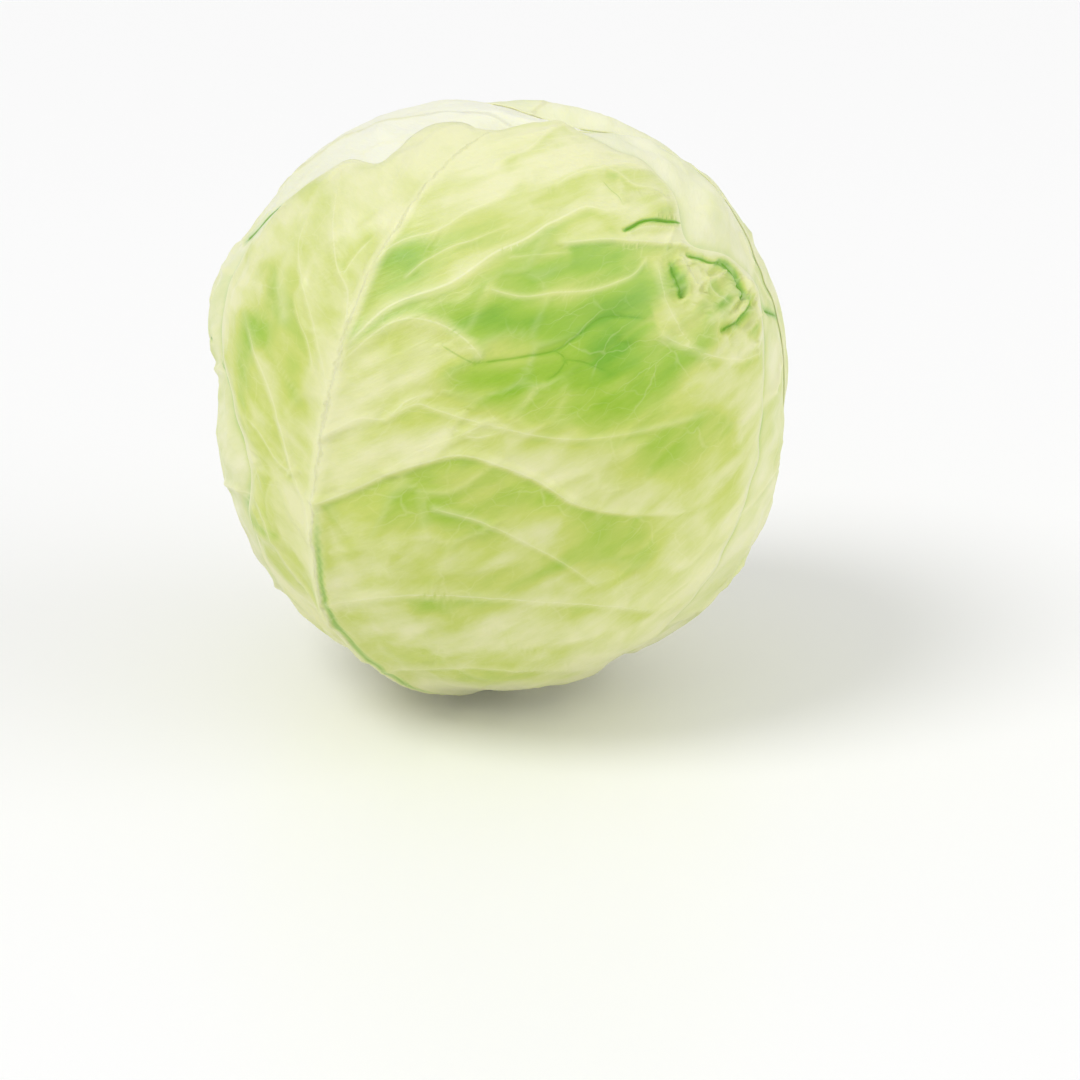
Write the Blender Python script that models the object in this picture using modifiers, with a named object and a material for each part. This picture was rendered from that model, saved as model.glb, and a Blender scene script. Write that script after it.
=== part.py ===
# A whole white cabbage head, standing on its cut stem.
# Metres, +Z up, origin at the centre of the stem's cut face, the front of the head towards -Y.
# Azimuths are degrees from the front (-Y) towards +X, latitudes are degrees above the head's middle.
# Each leaf is drawn in its own flat plane, in degrees of arc from the leaf's centre: x to the right,
# y from the stem to the tip. A turn is the angle round that centre from the tip, and 180 is the base.
import bmesh
import bpy
import numpy as np

# Driving sizes of the head
HEAD_RADIUS = 0.0900
HEAD_MIDDLE_Z = 0.0930
HEAD_UP = 0.0925
HEAD_DOWN = 0.0890
HEAD_SQUARENESS = 2.16
SWELL = 0.0011
# Where the head stands out or falls in: (azimuth, latitude, spread in degrees, height)
SWELLINGS = (
    (-82.0, 17.0, 13.0, 0.0022),
    (-91.0, 3.0, 8.0, -0.0040),
    (-84.0, -14.0, 18.0, -0.0030),
    (-70.0, -6.0, 9.0, 0.0010),
    (-60.0, -30.0, 16.0, -0.0015),
    (62.0, 48.0, 16.0, -0.0010),
    (84.0, 12.0, 16.0, 0.0008),
    (20.0, 40.0, 20.0, 0.0008),
    (-20.0, -16.0, 18.0, 0.0010),
    (120.0, -12.0, 22.0, 0.0012),
    (-150.0, 28.0, 20.0, 0.0012),
    (170.0, -32.0, 22.0, -0.0012),
)

# Leaves lie on each other, each one layer under the next
BLADE_THICKNESS = 0.0010
LAYER = 0.0022
LAYER_AT_STEM = 0.0034
HEART_GAP = 0.0022
RAMP_DEG = 15.0
TUCK_DEG = 2.5
RIB_TUCK_DEG = 9.0
TURN_STEP = 0.01

# The outer leaves, outermost first: (azimuth, latitude, reach, bow of the midrib)
OUTER_LEAVES = (
    (-5.0, 5.0, 72.0, None),
    (155.0, 6.0, 66.0, 6.0),
    (-95.0, 4.0, 71.0, -7.0),
    (42.0, 7.0, 74.0, 9.0),
    (183.0, 3.0, 77.0, -9.0),
    (-50.0, 5.0, 78.0, 5.0),
    (95.0, 5.0, 79.0, -4.0),
)
INNER_LEAVES = 5
INNER_TURN = 137.5
INNER_REACH = 78.0
INNER_STEP = 0.0012

# Outline of a leaf: what it adds to or takes from its reach, as (turn, degrees added, spread)
FRONT_EDGE = (
    (11.0, 15.0, 9.0),
    (-8.0, 7.0, 9.0),
    (-21.0, -6.0, 4.5),
    (-40.0, 4.0, 9.0),
    (-56.0, 3.0, 6.0),
    (-98.0, -19.0, 20.0),
    (30.0, 6.0, 10.0),
    (46.5, -7.0, 5.5),
    (64.0, 8.0, 9.0),
    (118.0, -6.0, 24.0),
)
EDGE_BUMPS = 9
EDGE_BUMP_SIZE = 4.0
EDGE_BUMP_SPREAD = (7.0, 20.0)
TIP_RISE = (0.0, 7.0, 34.0)
LOBE_DIP = (150.0, -7.0, 14.0)
BASE_HALF_TURN = 17.0

# The front leaf's midrib and side veins in its plane: (points, half width, height at the start)
FRONT_MIDRIB = ((0.0, -84.0), (-19.0, -62.0), (-30.0, -40.0), (-31.0, -22.0), (-30.0, -4.0), (-26.0, 15.0),
                (-21.0, 33.0), (-14.0, 48.0), (-7.0, 61.0), (5.0, 76.0))
FRONT_VEINS = (
    (((-23.0, 22.0), (-12.5, 30.0), (1.5, 36.5), (17.0, 47.0), (30.0, 51.0), (44.0, 56.0)), 0.0034, 0.0013),
    (((-18.0, 40.0), (-1.0, 47.5), (12.0, 58.0)), 0.0030, 0.0008),
    (((-24.5, 18.0), (-11.5, 26.5), (-0.5, 23.0), (2.5, 19.3), (16.0, 21.3), (35.0, 27.0), (62.0, 28.0)),
     0.0036, 0.0012),
    (((-3.0, 30.5), (6.0, 32.0), (17.0, 31.8), (35.0, 40.0)), 0.0030, 0.0008),
    (((-28.0, 3.0), (-16.0, 10.5), (-5.0, 10.5), (22.0, 5.0), (52.0, 8.0)), 0.0034, 0.0010),
    (((-30.0, -12.0), (-14.5, -2.0), (0.0, 2.3), (24.0, -9.0), (50.0, -14.0)), 0.0038, 0.0014),
    (((-31.0, -34.0), (-8.0, -26.0), (22.0, -30.0), (44.0, -40.0)), 0.0036, 0.0011),
    (((-23.5, 23.0), (-25.0, 31.0), (-30.0, 48.0), (-34.0, 60.0)), 0.0034, 0.0012),
    (((-27.0, 12.0), (-31.0, 22.0), (-39.0, 40.0)), 0.0030, 0.0008),
    (((-31.0, -18.0), (-35.0, -7.5), (-41.0, 7.0), (-54.0, 22.0)), 0.0036, 0.0012),
    (((-30.0, -40.0), (-41.0, -29.0), (-52.0, -14.0)), 0.0034, 0.0011),
)

# Ribs of the other leaves, raised on the outer face
MIDRIB_HEIGHT = 0.0034
MIDRIB_HALF_WIDTH = 0.0085
MIDRIB_TIP_SHARE = 0.35
SIDE_VEIN_STARTS = (-0.66, -0.38, -0.08, 0.24)
SIDE_VEIN_HEIGHT = 0.0012
SIDE_VEIN_HALF_WIDTH = 0.0038

# The stem: a cut foot outside, the white core inside the heart
STEM_RADIUS = 0.0165
STEM_BEVEL = 0.0012
STEM_FOOT_Z = 0.0060
STEM_NECK_RADIUS = 0.0140
STEM_NECK_Z = 0.0130
CORE_RADIUS = 0.0125
CORE_SHOULDER_Z = 0.0630
CORE_TOP_Z = 0.0850
FIT_GAP = 0.0004

# Mesh fineness
FRONT_GRID = (37, 34)
OUTER_GRID = (20, 16)
COLUMN_CROWDING = 1.25
CURVE_STEPS = 6
HEART_SEGMENTS = 40
HEART_RINGS = 26
TURNED_STEPS = 32

MM_PER_DEG = np.pi * HEAD_RADIUS / 180.0


def smoothstep(x):
    x = np.clip(x, 0.0, 1.0)
    return x * x * (3.0 - 2.0 * x)


def direction_of(azimuth, latitude):
    az, la = np.radians(azimuth), np.radians(latitude)
    return np.array([np.cos(la) * np.sin(az), -np.cos(la) * np.cos(az), np.sin(la)])


def head_radius(d):
    """Distance from the head's middle to its outside, along the unit directions d."""
    across = np.hypot(d[..., 0], d[..., 1]) / HEAD_RADIUS
    tall = np.where(d[..., 2] > 0, HEAD_UP, HEAD_DOWN)
    up = np.abs(d[..., 2]) / tall
    radius = (across**HEAD_SQUARENESS + up**HEAD_SQUARENESS) ** (-1.0 / HEAD_SQUARENESS)
    swell = np.sin(3.1 * d[..., 0] + 1.0) * np.cos(3.7 * d[..., 2] - 0.6)
    swell = swell + np.sin(4.3 * d[..., 1] + 2.6 * d[..., 2] + 0.5)
    radius = radius + SWELL * 0.5 * swell * np.clip(1.6 * (1.0 - np.abs(d[..., 2])), 0, 1)
    for azimuth, latitude, spread, height in SWELLINGS:
        angle = np.degrees(np.arccos(np.clip(d @ direction_of(azimuth, latitude), -1.0, 1.0)))
        radius = radius + height * np.exp(-((angle / spread) ** 2))
    return radius


def layer(d):
    """Depth of one leaf layer: the leaves are fleshier, and lie looser, towards the stem."""
    return LAYER + (LAYER_AT_STEM - LAYER) * smoothstep(-0.2 - 1.2 * d[..., 2])


def smooth_curve(points):
    """A smooth line through the points (Catmull-Rom), CURVE_STEPS pieces to each span."""
    p = np.array(points, float)
    p = np.vstack([2 * p[0] - p[1], p, 2 * p[-1] - p[-2]])
    t = np.linspace(0, 1, CURVE_STEPS, endpoint=False)[:, None]
    spans = []
    for a, b, c, d in zip(p, p[1:], p[2:], p[3:]):
        spans.append(0.5 * (2 * b + (c - a) * t + (2 * a - 5 * b + 4 * c - d) * t**2
                            + (3 * b - a - 3 * c + d) * t**3))
    return np.vstack(spans + [p[-2:-1]])


def near_curve(x, y, line):
    """Distance of each place to the line, and how far along the line (0 to 1) that is."""
    places = np.stack([x, y], axis=-1)[:, None, :]
    start, run = line[:-1], np.diff(line, axis=0)
    share = np.clip(((places - start) * run).sum(-1) / (run**2).sum(-1), 0.0, 1.0)
    gap = np.linalg.norm(places - start - share[..., None] * run, axis=-1)
    nearest = gap.argmin(axis=1)
    row = np.arange(len(nearest))
    return gap[row, nearest], (nearest + share[row, nearest]) / len(run)


class Leaf:
    """One leaf: its place on the head, its outline, and its ribs."""

    def __init__(self, number, azimuth, latitude, reach, bow):
        draw = np.random.default_rng(40 + number)
        self.name = f"outer_leaf_{number + 1}"
        self.latitude = latitude
        self.reach = reach
        self.centre = direction_of(azimuth, latitude)
        self.up = direction_of(azimuth, latitude + 90.0)
        self.right = np.cross(self.up, self.centre)
        stem_deg = np.degrees(np.arctan2(STEM_RADIUS + FIT_GAP, HEAD_DOWN)) + 1.0
        self.base = 90.0 + latitude - stem_deg
        if bow is None:
            self.bumps = FRONT_EDGE
            self.midrib = smooth_curve(FRONT_MIDRIB)
            self.veins = [(smooth_curve(line), wide, high) for line, wide, high in FRONT_VEINS]
        else:
            self.bumps = self.drawn_edge(draw)
            self.midrib = smooth_curve([(bow * (1 - s * s), s * (reach if s > 0 else self.base))
                                        for s in np.linspace(-1, 1, 7)])
            self.veins = self.drawn_veins(draw, bow)

    def drawn_edge(self, draw):
        turns = np.linspace(-150, 150, EDGE_BUMPS) + draw.uniform(-12, 12, EDGE_BUMPS)
        sizes = draw.uniform(-EDGE_BUMP_SIZE, EDGE_BUMP_SIZE, EDGE_BUMPS)
        spreads = draw.uniform(*EDGE_BUMP_SPREAD, EDGE_BUMPS)
        turn, dip, spread = LOBE_DIP
        return (TIP_RISE, (turn, dip, spread), (-turn, dip, spread), *zip(turns, sizes, spreads))

    def drawn_veins(self, draw, bow):
        veins = []
        for side in (-1, 1):
            for start in SIDE_VEIN_STARTS:
                y = self.reach * (start + draw.uniform(-0.05, 0.05))
                x = bow * (1 - (y / self.reach) ** 2)
                out = side * (self.reach * 0.9 - abs(x) * side * np.sign(bow))
                rise = draw.uniform(0.30, 0.45)
                line = [(x + out * s, y + self.reach * rise * s * (1 - 0.25 * s)) for s in (0, 0.33, 0.66, 1)]
                veins.append((smooth_curve(line), SIDE_VEIN_HALF_WIDTH, SIDE_VEIN_HEIGHT))
        return veins

    def edge(self, turn):
        """How far the leaf reaches at each turn, in degrees."""
        turn = np.degrees(turn)
        reach = self.reach
        for at, size, spread in self.bumps:
            reach = reach + size * np.exp(-(((turn - at) / spread) ** 2))
        at_base = smoothstep((np.abs(turn) - 180.0 + 2 * BASE_HALF_TURN) / BASE_HALF_TURN)
        return reach * (1 - at_base) + self.base * at_base

    def direction(self, x, y):
        far = np.maximum(np.hypot(x, y), 1e-9)
        across = (x / far)[..., None] * self.right + (y / far)[..., None] * self.up
        far = np.radians(far)[..., None]
        return np.cos(far) * self.centre + np.sin(far) * across

    def cover(self, d, tuck=TUCK_DEG):
        """1 where this leaf lies over d, falling to 0 on a slope outside its edge."""
        angle = np.degrees(np.arccos(np.clip(d @ self.centre, -1.0, 1.0)))
        turn = np.arctan2(d @ self.right, d @ self.up)
        reach = self.edge(turn)
        lean = (self.edge(turn + TURN_STEP) - self.edge(turn - TURN_STEP)) / (2 * TURN_STEP)
        slant = np.hypot(1.0, lean / np.degrees(np.sin(np.radians(reach))))
        return 1.0 - smoothstep((angle - reach - tuck) / (RAMP_DEG * slant))

    def ribs(self, x, y):
        """Height of the midrib and side veins over the blade, in metres."""
        off, along = near_curve(x, y, self.midrib)
        wide = MIDRIB_HALF_WIDTH * (1 - along * (1 - MIDRIB_TIP_SHARE))
        height = MIDRIB_HEIGHT * (1 - 0.92 * along) * np.exp(-((off * MM_PER_DEG / wide) ** 2))
        for line, wide, high in self.veins:
            off, along = near_curve(x, y, line)
            vein = high * (1 - 0.7 * along) * np.exp(-((off * MM_PER_DEG / wide) ** 2))
            height = np.maximum(height, vein)
        return height


def clear_scene():
    for old in list(bpy.data.objects):
        bpy.data.objects.remove(old, do_unlink=True)


def make_collection(name, hidden=False):
    made = bpy.data.collections.new(name)
    bpy.context.scene.collection.children.link(made)
    made.hide_render = hidden
    return made


def material(name, colour, roughness):
    made = bpy.data.materials.new(name)
    made.use_nodes = True
    shader = made.node_tree.nodes["Principled BSDF"]
    shader.inputs["Base Color"].default_value = (*colour, 1.0)
    shader.inputs["Roughness"].default_value = roughness
    shader.inputs["Metallic"].default_value = 0.0
    return made


def object_from(bm, name, collection, finish):
    mesh = bpy.data.meshes.new(name)
    bm.to_mesh(mesh)
    bm.free()
    mesh.shade_smooth()
    made = bpy.data.objects.new(name, mesh)
    made.data.materials.append(finish)
    collection.objects.link(made)
    return made


def leaf_places(leaf, u, v):
    """Grid places -1..1 spread over the leaf's outline, with the middle column on the midrib."""
    u = np.sign(u) * np.abs(u) ** COLUMN_CROWDING
    x, y = u * np.sqrt(1 - v * v / 2), v * np.sqrt(1 - u * u / 2)
    reach = leaf.edge(np.arctan2(x, y))
    rib_x = np.interp(y * reach, leaf.midrib[:, 1], leaf.midrib[:, 0])
    return x * reach + rib_x * (1 - np.minimum(np.hypot(x, y), 1.0)), y * reach


def make_leaf(leaf, above, grid, collection, finish):
    bm = bmesh.new()
    bmesh.ops.create_grid(bm, x_segments=grid[0], y_segments=grid[1], size=1.0)
    flat = np.array([v.co for v in bm.verts], float)
    x, y = leaf_places(leaf, flat[:, 0], flat[:, 1])
    d = leaf.direction(x, y)
    depth = layer(d) * sum((other.cover(d) for other in above), np.zeros(len(d)))
    bare = np.ones(len(d))
    for other in above:
        bare *= 1.0 - other.cover(d, RIB_TUCK_DEG)
    places = d * (head_radius(d) - depth)[:, None]
    places[:, 2] += HEAD_MIDDLE_Z
    for vert, place in zip(bm.verts, places):
        vert.co = place
    bmesh.ops.triangulate(bm, faces=bm.faces[:])
    bmesh.ops.recalc_face_normals(bm, faces=bm.faces[:])
    made = object_from(bm, leaf.name, collection, finish)
    raised = made.vertex_groups.new(name="blade and ribs")
    thickest = BLADE_THICKNESS + MIDRIB_HEIGHT
    for i, rib in enumerate(leaf.ribs(x, y) * bare):
        raised.add([i], (BLADE_THICKNESS + rib) / thickest, "REPLACE")
    skin = made.modifiers.new("thickness", "SOLIDIFY")
    skin.thickness = thickest
    skin.offset = 1.0
    skin.vertex_group = raised.name
    return made


def core_profile(gap):
    """The stem from its top down to the neck, as (radius, height) points, a gap larger all round."""
    return (
        (CORE_RADIUS * 0.35 + gap, CORE_TOP_Z + gap),
        (CORE_RADIUS * 0.75 + gap, CORE_TOP_Z - 0.006 + gap),
        (CORE_RADIUS + gap, CORE_SHOULDER_Z),
        (STEM_NECK_RADIUS + gap, STEM_NECK_Z + 0.012),
        (STEM_NECK_RADIUS + gap, STEM_NECK_Z),
        (STEM_RADIUS + gap, STEM_FOOT_Z),
    )


def turned(name, profile, collection, finish):
    """A solid turned round Z from (radius, height) points that run down its outer side."""
    bm = bmesh.new()
    ends = [(0.0, profile[0][1]), *profile, (0.0, profile[-1][1])]
    verts = [bm.verts.new((r, 0.0, z)) for r, z in ends]
    for a, b in zip(verts, verts[1:]):
        bm.edges.new((a, b))
    made = object_from(bm, name, collection, finish)
    screw = made.modifiers.new("turn", "SCREW")
    screw.steps = screw.render_steps = TURNED_STEPS
    screw.use_merge_vertices = True
    screw.merge_threshold = 0.00005
    return made


def make_stem(collection, finish):
    foot = ((STEM_RADIUS, STEM_BEVEL), (STEM_RADIUS - STEM_BEVEL, 0.0))
    return turned("stem", core_profile(0.0) + foot, collection, finish)


def make_heart(outer, inner, collection, cutters, finish):
    """The packed inner leaves: one body, with the edges of the uppermost ones in relief."""
    bm = bmesh.new()
    bmesh.ops.create_uvsphere(bm, u_segments=HEART_SEGMENTS, v_segments=HEART_RINGS, radius=1.0)
    d = np.array([v.co.normalized() for v in bm.verts], float)
    depth = HEART_GAP + layer(d) * sum(leaf.cover(d) for leaf in outer)
    depth = depth + INNER_STEP * (len(inner) - sum(leaf.cover(d) for leaf in inner))
    places = d * (head_radius(d) - depth)[:, None]
    places[:, 2] += HEAD_MIDDLE_Z
    for vert, place in zip(bm.verts, places):
        vert.co = place
    heart = object_from(bm, "heart_leaves", collection, finish)
    below = ((STEM_RADIUS + FIT_GAP, -STEM_FOOT_Z),)
    socket = turned("stem_socket", core_profile(FIT_GAP) + below, cutters, finish)
    socket.hide_render = True
    socket.display_type = "WIRE"
    bore = heart.modifiers.new("stem socket", "BOOLEAN")
    bore.operation = "DIFFERENCE"
    bore.object = socket
    bore.solver = "EXACT"
    return heart


def build():
    clear_scene()
    parts = make_collection("cabbage_head")
    cutters = make_collection("cutters", hidden=True)
    outer_green = material("outer leaf green", (0.62, 0.74, 0.30), 0.45)
    heart_cream = material("inner leaf cream", (0.84, 0.84, 0.55), 0.5)
    stem_white = material("stem white", (0.84, 0.83, 0.64), 0.55)
    outer = [Leaf(number, *leaf) for number, leaf in enumerate(OUTER_LEAVES)]
    first = len(outer)
    inner = [Leaf(first + i, INNER_TURN * (first + i), 5.0, INNER_REACH, 0.0) for i in range(INNER_LEAVES)]
    for number, leaf in enumerate(outer):
        grid = OUTER_GRID if number else FRONT_GRID
        make_leaf(leaf, outer[:number], grid, parts, outer_green)
    make_heart(outer, inner, parts, cutters, heart_cream)
    make_stem(parts, stem_white)


build()
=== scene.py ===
import bmesh
import bpy
import numpy as np
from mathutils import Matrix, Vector


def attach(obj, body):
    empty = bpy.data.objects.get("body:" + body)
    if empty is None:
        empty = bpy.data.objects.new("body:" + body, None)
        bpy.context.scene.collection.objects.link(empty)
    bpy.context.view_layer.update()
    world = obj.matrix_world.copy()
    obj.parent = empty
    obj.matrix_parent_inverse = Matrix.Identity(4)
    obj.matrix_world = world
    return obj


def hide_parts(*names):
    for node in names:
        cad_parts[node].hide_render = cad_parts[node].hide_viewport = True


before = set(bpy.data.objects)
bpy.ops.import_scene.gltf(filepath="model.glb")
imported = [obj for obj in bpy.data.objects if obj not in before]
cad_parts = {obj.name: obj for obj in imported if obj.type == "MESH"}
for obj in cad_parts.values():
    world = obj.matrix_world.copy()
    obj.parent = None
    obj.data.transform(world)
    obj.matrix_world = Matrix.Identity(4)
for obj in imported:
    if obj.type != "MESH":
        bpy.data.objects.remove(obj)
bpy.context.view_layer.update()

head = {
    "radius": 0.0900,
    "middleZ": 0.0930,
    "up": 0.0925,
    "down": 0.0890,
    "squareness": 2.16,
    "swell": 0.0011,
    "stemEdge": 0.0169,     # leaf bases end just outside this
    # where the head stands out or falls in: azimuth, latitude, spread in degrees, height
    "swellings": [
        (-82, 17, 13, 0.0022),
        (-91, 3, 8, -0.0040),
        (-78, 6, 8, -0.0028),
        (-103, 6, 9, -0.0028),
        (-84, -14, 18, -0.0030),
        (-70, -6, 9, 0.0010),
        (-60, -30, 16, -0.0015),
        (62, 48, 16, -0.0010),
        (84, 12, 16, 0.0008),
        (135, 80, 11, -0.0036),
        (-98, 36, 8, -0.0024),
        (-90, 52, 8, -0.0018),
        (-84, 27, 6, 0.0010),
        (103, 44, 12, 0.0016),
        (20, 40, 20, 0.0008),
        (-20, -16, 18, 0.0010),
        (120, -12, 22, 0.0012),
        (-150, 28, 20, 0.0012),
        (170, -32, 22, -0.0012),
    ],
}

layers = {
    "blade": 0.0010,        # a leaf blade, thinner at its edge
    "edgeBlade": 0.0004,
    "step": 0.0019,         # depth from one leaf to the next below
    "stepAtStem": 0.0033,
    "ramp": 15.0,           # degrees over which the leaf below rises again beside an edge
    "tuck": 1.0,
    "clear": 0.00004,       # left between an edge and the leaf that it is pressed onto
    "pressReach": 8.0,      # degrees inside its edge where a leaf starts to bend down onto the next
    "heartGap": 0.0012,
    "fall": 1.5,            # degrees over which the outside steps down from a leaf's edge
    "deepest": 1.3,         # mm that a fold sinks before it lies on the leaf below
}

mmPerDegree = np.pi * head["radius"] * 1000.0 / 180.0
turnStep = 0.01             # radians to each side for the lean of a leaf's edge
baseHalfTurn = 17.0         # half the turn over which a leaf joins the stem

# seeds of the random draws, to which a leaf's number is added
seeds = {
    "leaf": 40,
    "waves": 300,
    "crumples": 500,
    "heartPuffs": 700,
    "heartGreen": 720,
    "stem": 801,
    "branches": 900,
}


def smoothStep(x):
    x = np.clip(x, 0.0, 1.0)
    return x * x * (3.0 - 2.0 * x)


def directionOf(azimuth, latitude):
    az, la = np.radians(azimuth), np.radians(latitude)
    return np.array([np.cos(la) * np.sin(az), -np.cos(la) * np.cos(az), np.sin(la)])


def headRadius(d):
    # distance from the head's middle to its outside, along the unit directions d
    across = np.hypot(d[..., 0], d[..., 1]) / head["radius"]
    tall = np.where(d[..., 2] > 0, head["up"], head["down"])
    up = np.abs(d[..., 2]) / tall
    power = head["squareness"]
    radius = (across**power + up**power) ** (-1.0 / power)
    swell = np.sin(3.1 * d[..., 0] + 1.0) * np.cos(3.7 * d[..., 2] - 0.6)
    swell = swell + np.sin(4.3 * d[..., 1] + 2.6 * d[..., 2] + 0.5)
    radius = radius + head["swell"] * 0.5 * swell * np.clip(1.6 * (1.0 - np.abs(d[..., 2])), 0, 1)
    for azimuth, latitude, spread, height in head["swellings"]:
        angle = np.degrees(np.arccos(np.clip(d @ directionOf(azimuth, latitude), -1.0, 1.0)))
        radius = radius + height * np.exp(-((angle / spread) ** 2))
    return radius


def layerStep(d):
    # leaves are fleshier towards the stem, and lie looser
    return layers["step"] + (layers["stepAtStem"] - layers["step"]) * smoothStep(-0.2 - 1.2 * d[..., 2])


def softNoise(x, y, size, seed):
    # smooth bumps about "size" across, from -1 to 1, from a seeded lattice of random values
    lattice = np.random.default_rng(seed).uniform(-1, 1, (64, 64))
    u, v = x / size + 17.3, y / size + 29.1
    i, j = np.floor(u).astype(int), np.floor(v).astype(int)
    fu, fv = smoothStep(u - i), smoothStep(v - j)
    i, j = i % 63, j % 63
    low = lattice[i, j] * (1 - fu) + lattice[i + 1, j] * fu
    high = lattice[i, j + 1] * (1 - fu) + lattice[i + 1, j + 1] * fu
    return low * (1 - fv) + high * fv


def veinCells(u, v, seed):
    # uneven cells one unit apart: distance to the nearest cell wall, a random value for each cell,
    # and how far along u and v a place lies from its cell's middle
    lattice = np.random.default_rng(seed).uniform(0.12, 0.88, (64, 64, 3))
    i, j = np.floor(u).astype(int), np.floor(v).astype(int)
    first, second = np.full(len(u), 9.0), np.full(len(u), 9.0)
    shade, du, dv = np.zeros(len(u)), np.zeros(len(u)), np.zeros(len(u))
    for di in (-1, 0, 1):
        for dj in (-1, 0, 1):
            cell = lattice[(i + di) % 64, (j + dj) % 64]
            pu, pv = u - (i + di + cell[:, 0]), v - (j + dj + cell[:, 1])
            gap = np.hypot(pu, pv)
            nearer = gap < first
            second = np.where(nearer, first, np.minimum(second, gap))
            pairs = ((cell[:, 2], shade), (pu, du), (pv, dv))
            shade, du, dv = (np.where(nearer, new, old) for new, old in pairs)
            first = np.where(nearer, gap, first)
    return 0.5 * (second - first), 2 * shade - 1, du, dv


# Lines drawn on a leaf: ribs, veins, folds and slits

def smoothCurve(points, steps=6):
    # a smooth line through the points (Catmull-Rom)
    p = np.array(points, float)
    p = np.vstack([2 * p[0] - p[1], p, 2 * p[-1] - p[-2]])
    t = np.linspace(0, 1, steps, endpoint=False)[:, None]
    spans = []
    for a, b, c, d in zip(p, p[1:], p[2:], p[3:]):
        spans.append(0.5 * (2 * b + (c - a) * t + (2 * a - 5 * b + 4 * c - d) * t**2
                            + (3 * b - a - 3 * c + d) * t**3))
    return np.vstack(spans + [p[-2:-1]])


def nearCurve(x, y, line):
    # for each place: degrees off the line, plus on its left and minus on its right, and share along it
    best, side, along = np.full(len(x), 1e9), np.ones(len(x)), np.zeros(len(x))
    count = len(line) - 1
    for n in range(count):
        ax, ay = line[n]
        rx, ry = line[n + 1] - line[n]
        share = np.clip(((x - ax) * rx + (y - ay) * ry) / (rx * rx + ry * ry), 0.0, 1.0)
        gap = np.hypot(x - ax - share * rx, y - ay - share * ry)
        closer = gap < best
        best = np.where(closer, gap, best)
        side = np.where(closer, np.where(rx * (y - ay) - ry * (x - ax) >= 0, 1.0, -1.0), side)
        along = np.where(closer, (n + share) / count, along)
    return best * side, along


def stroke(points, wide, high, pale=0.0, dark=0.0, left=0.0, right=0.0, reach=5.0, wideRight=None, fade=0.5,
           core=None):
    # wide is half a width in mm, high is in mm, and both shrink by fade towards the line's end;
    # pale colours the line, and the shade amount after it paints shade into it, deep green, as at the bottom
    # of a fold or slit; left and right turn the blade beside it green, as far as reach degrees: partly its
    # own green, partly painted shade beside a ridge or in a fold; core is the strength of the crisp line
    # along the middle, below 0 for a crisp line of painted shade
    return {"line": smoothCurve(points), "wide": wide, "high": high, "pale": pale, "dark": dark,
            "left": left, "right": right, "reach": reach, "wideRight": wideRight or wide, "fade": fade,
            "core": 0.6 * pale - dark if core is None else core}


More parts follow.
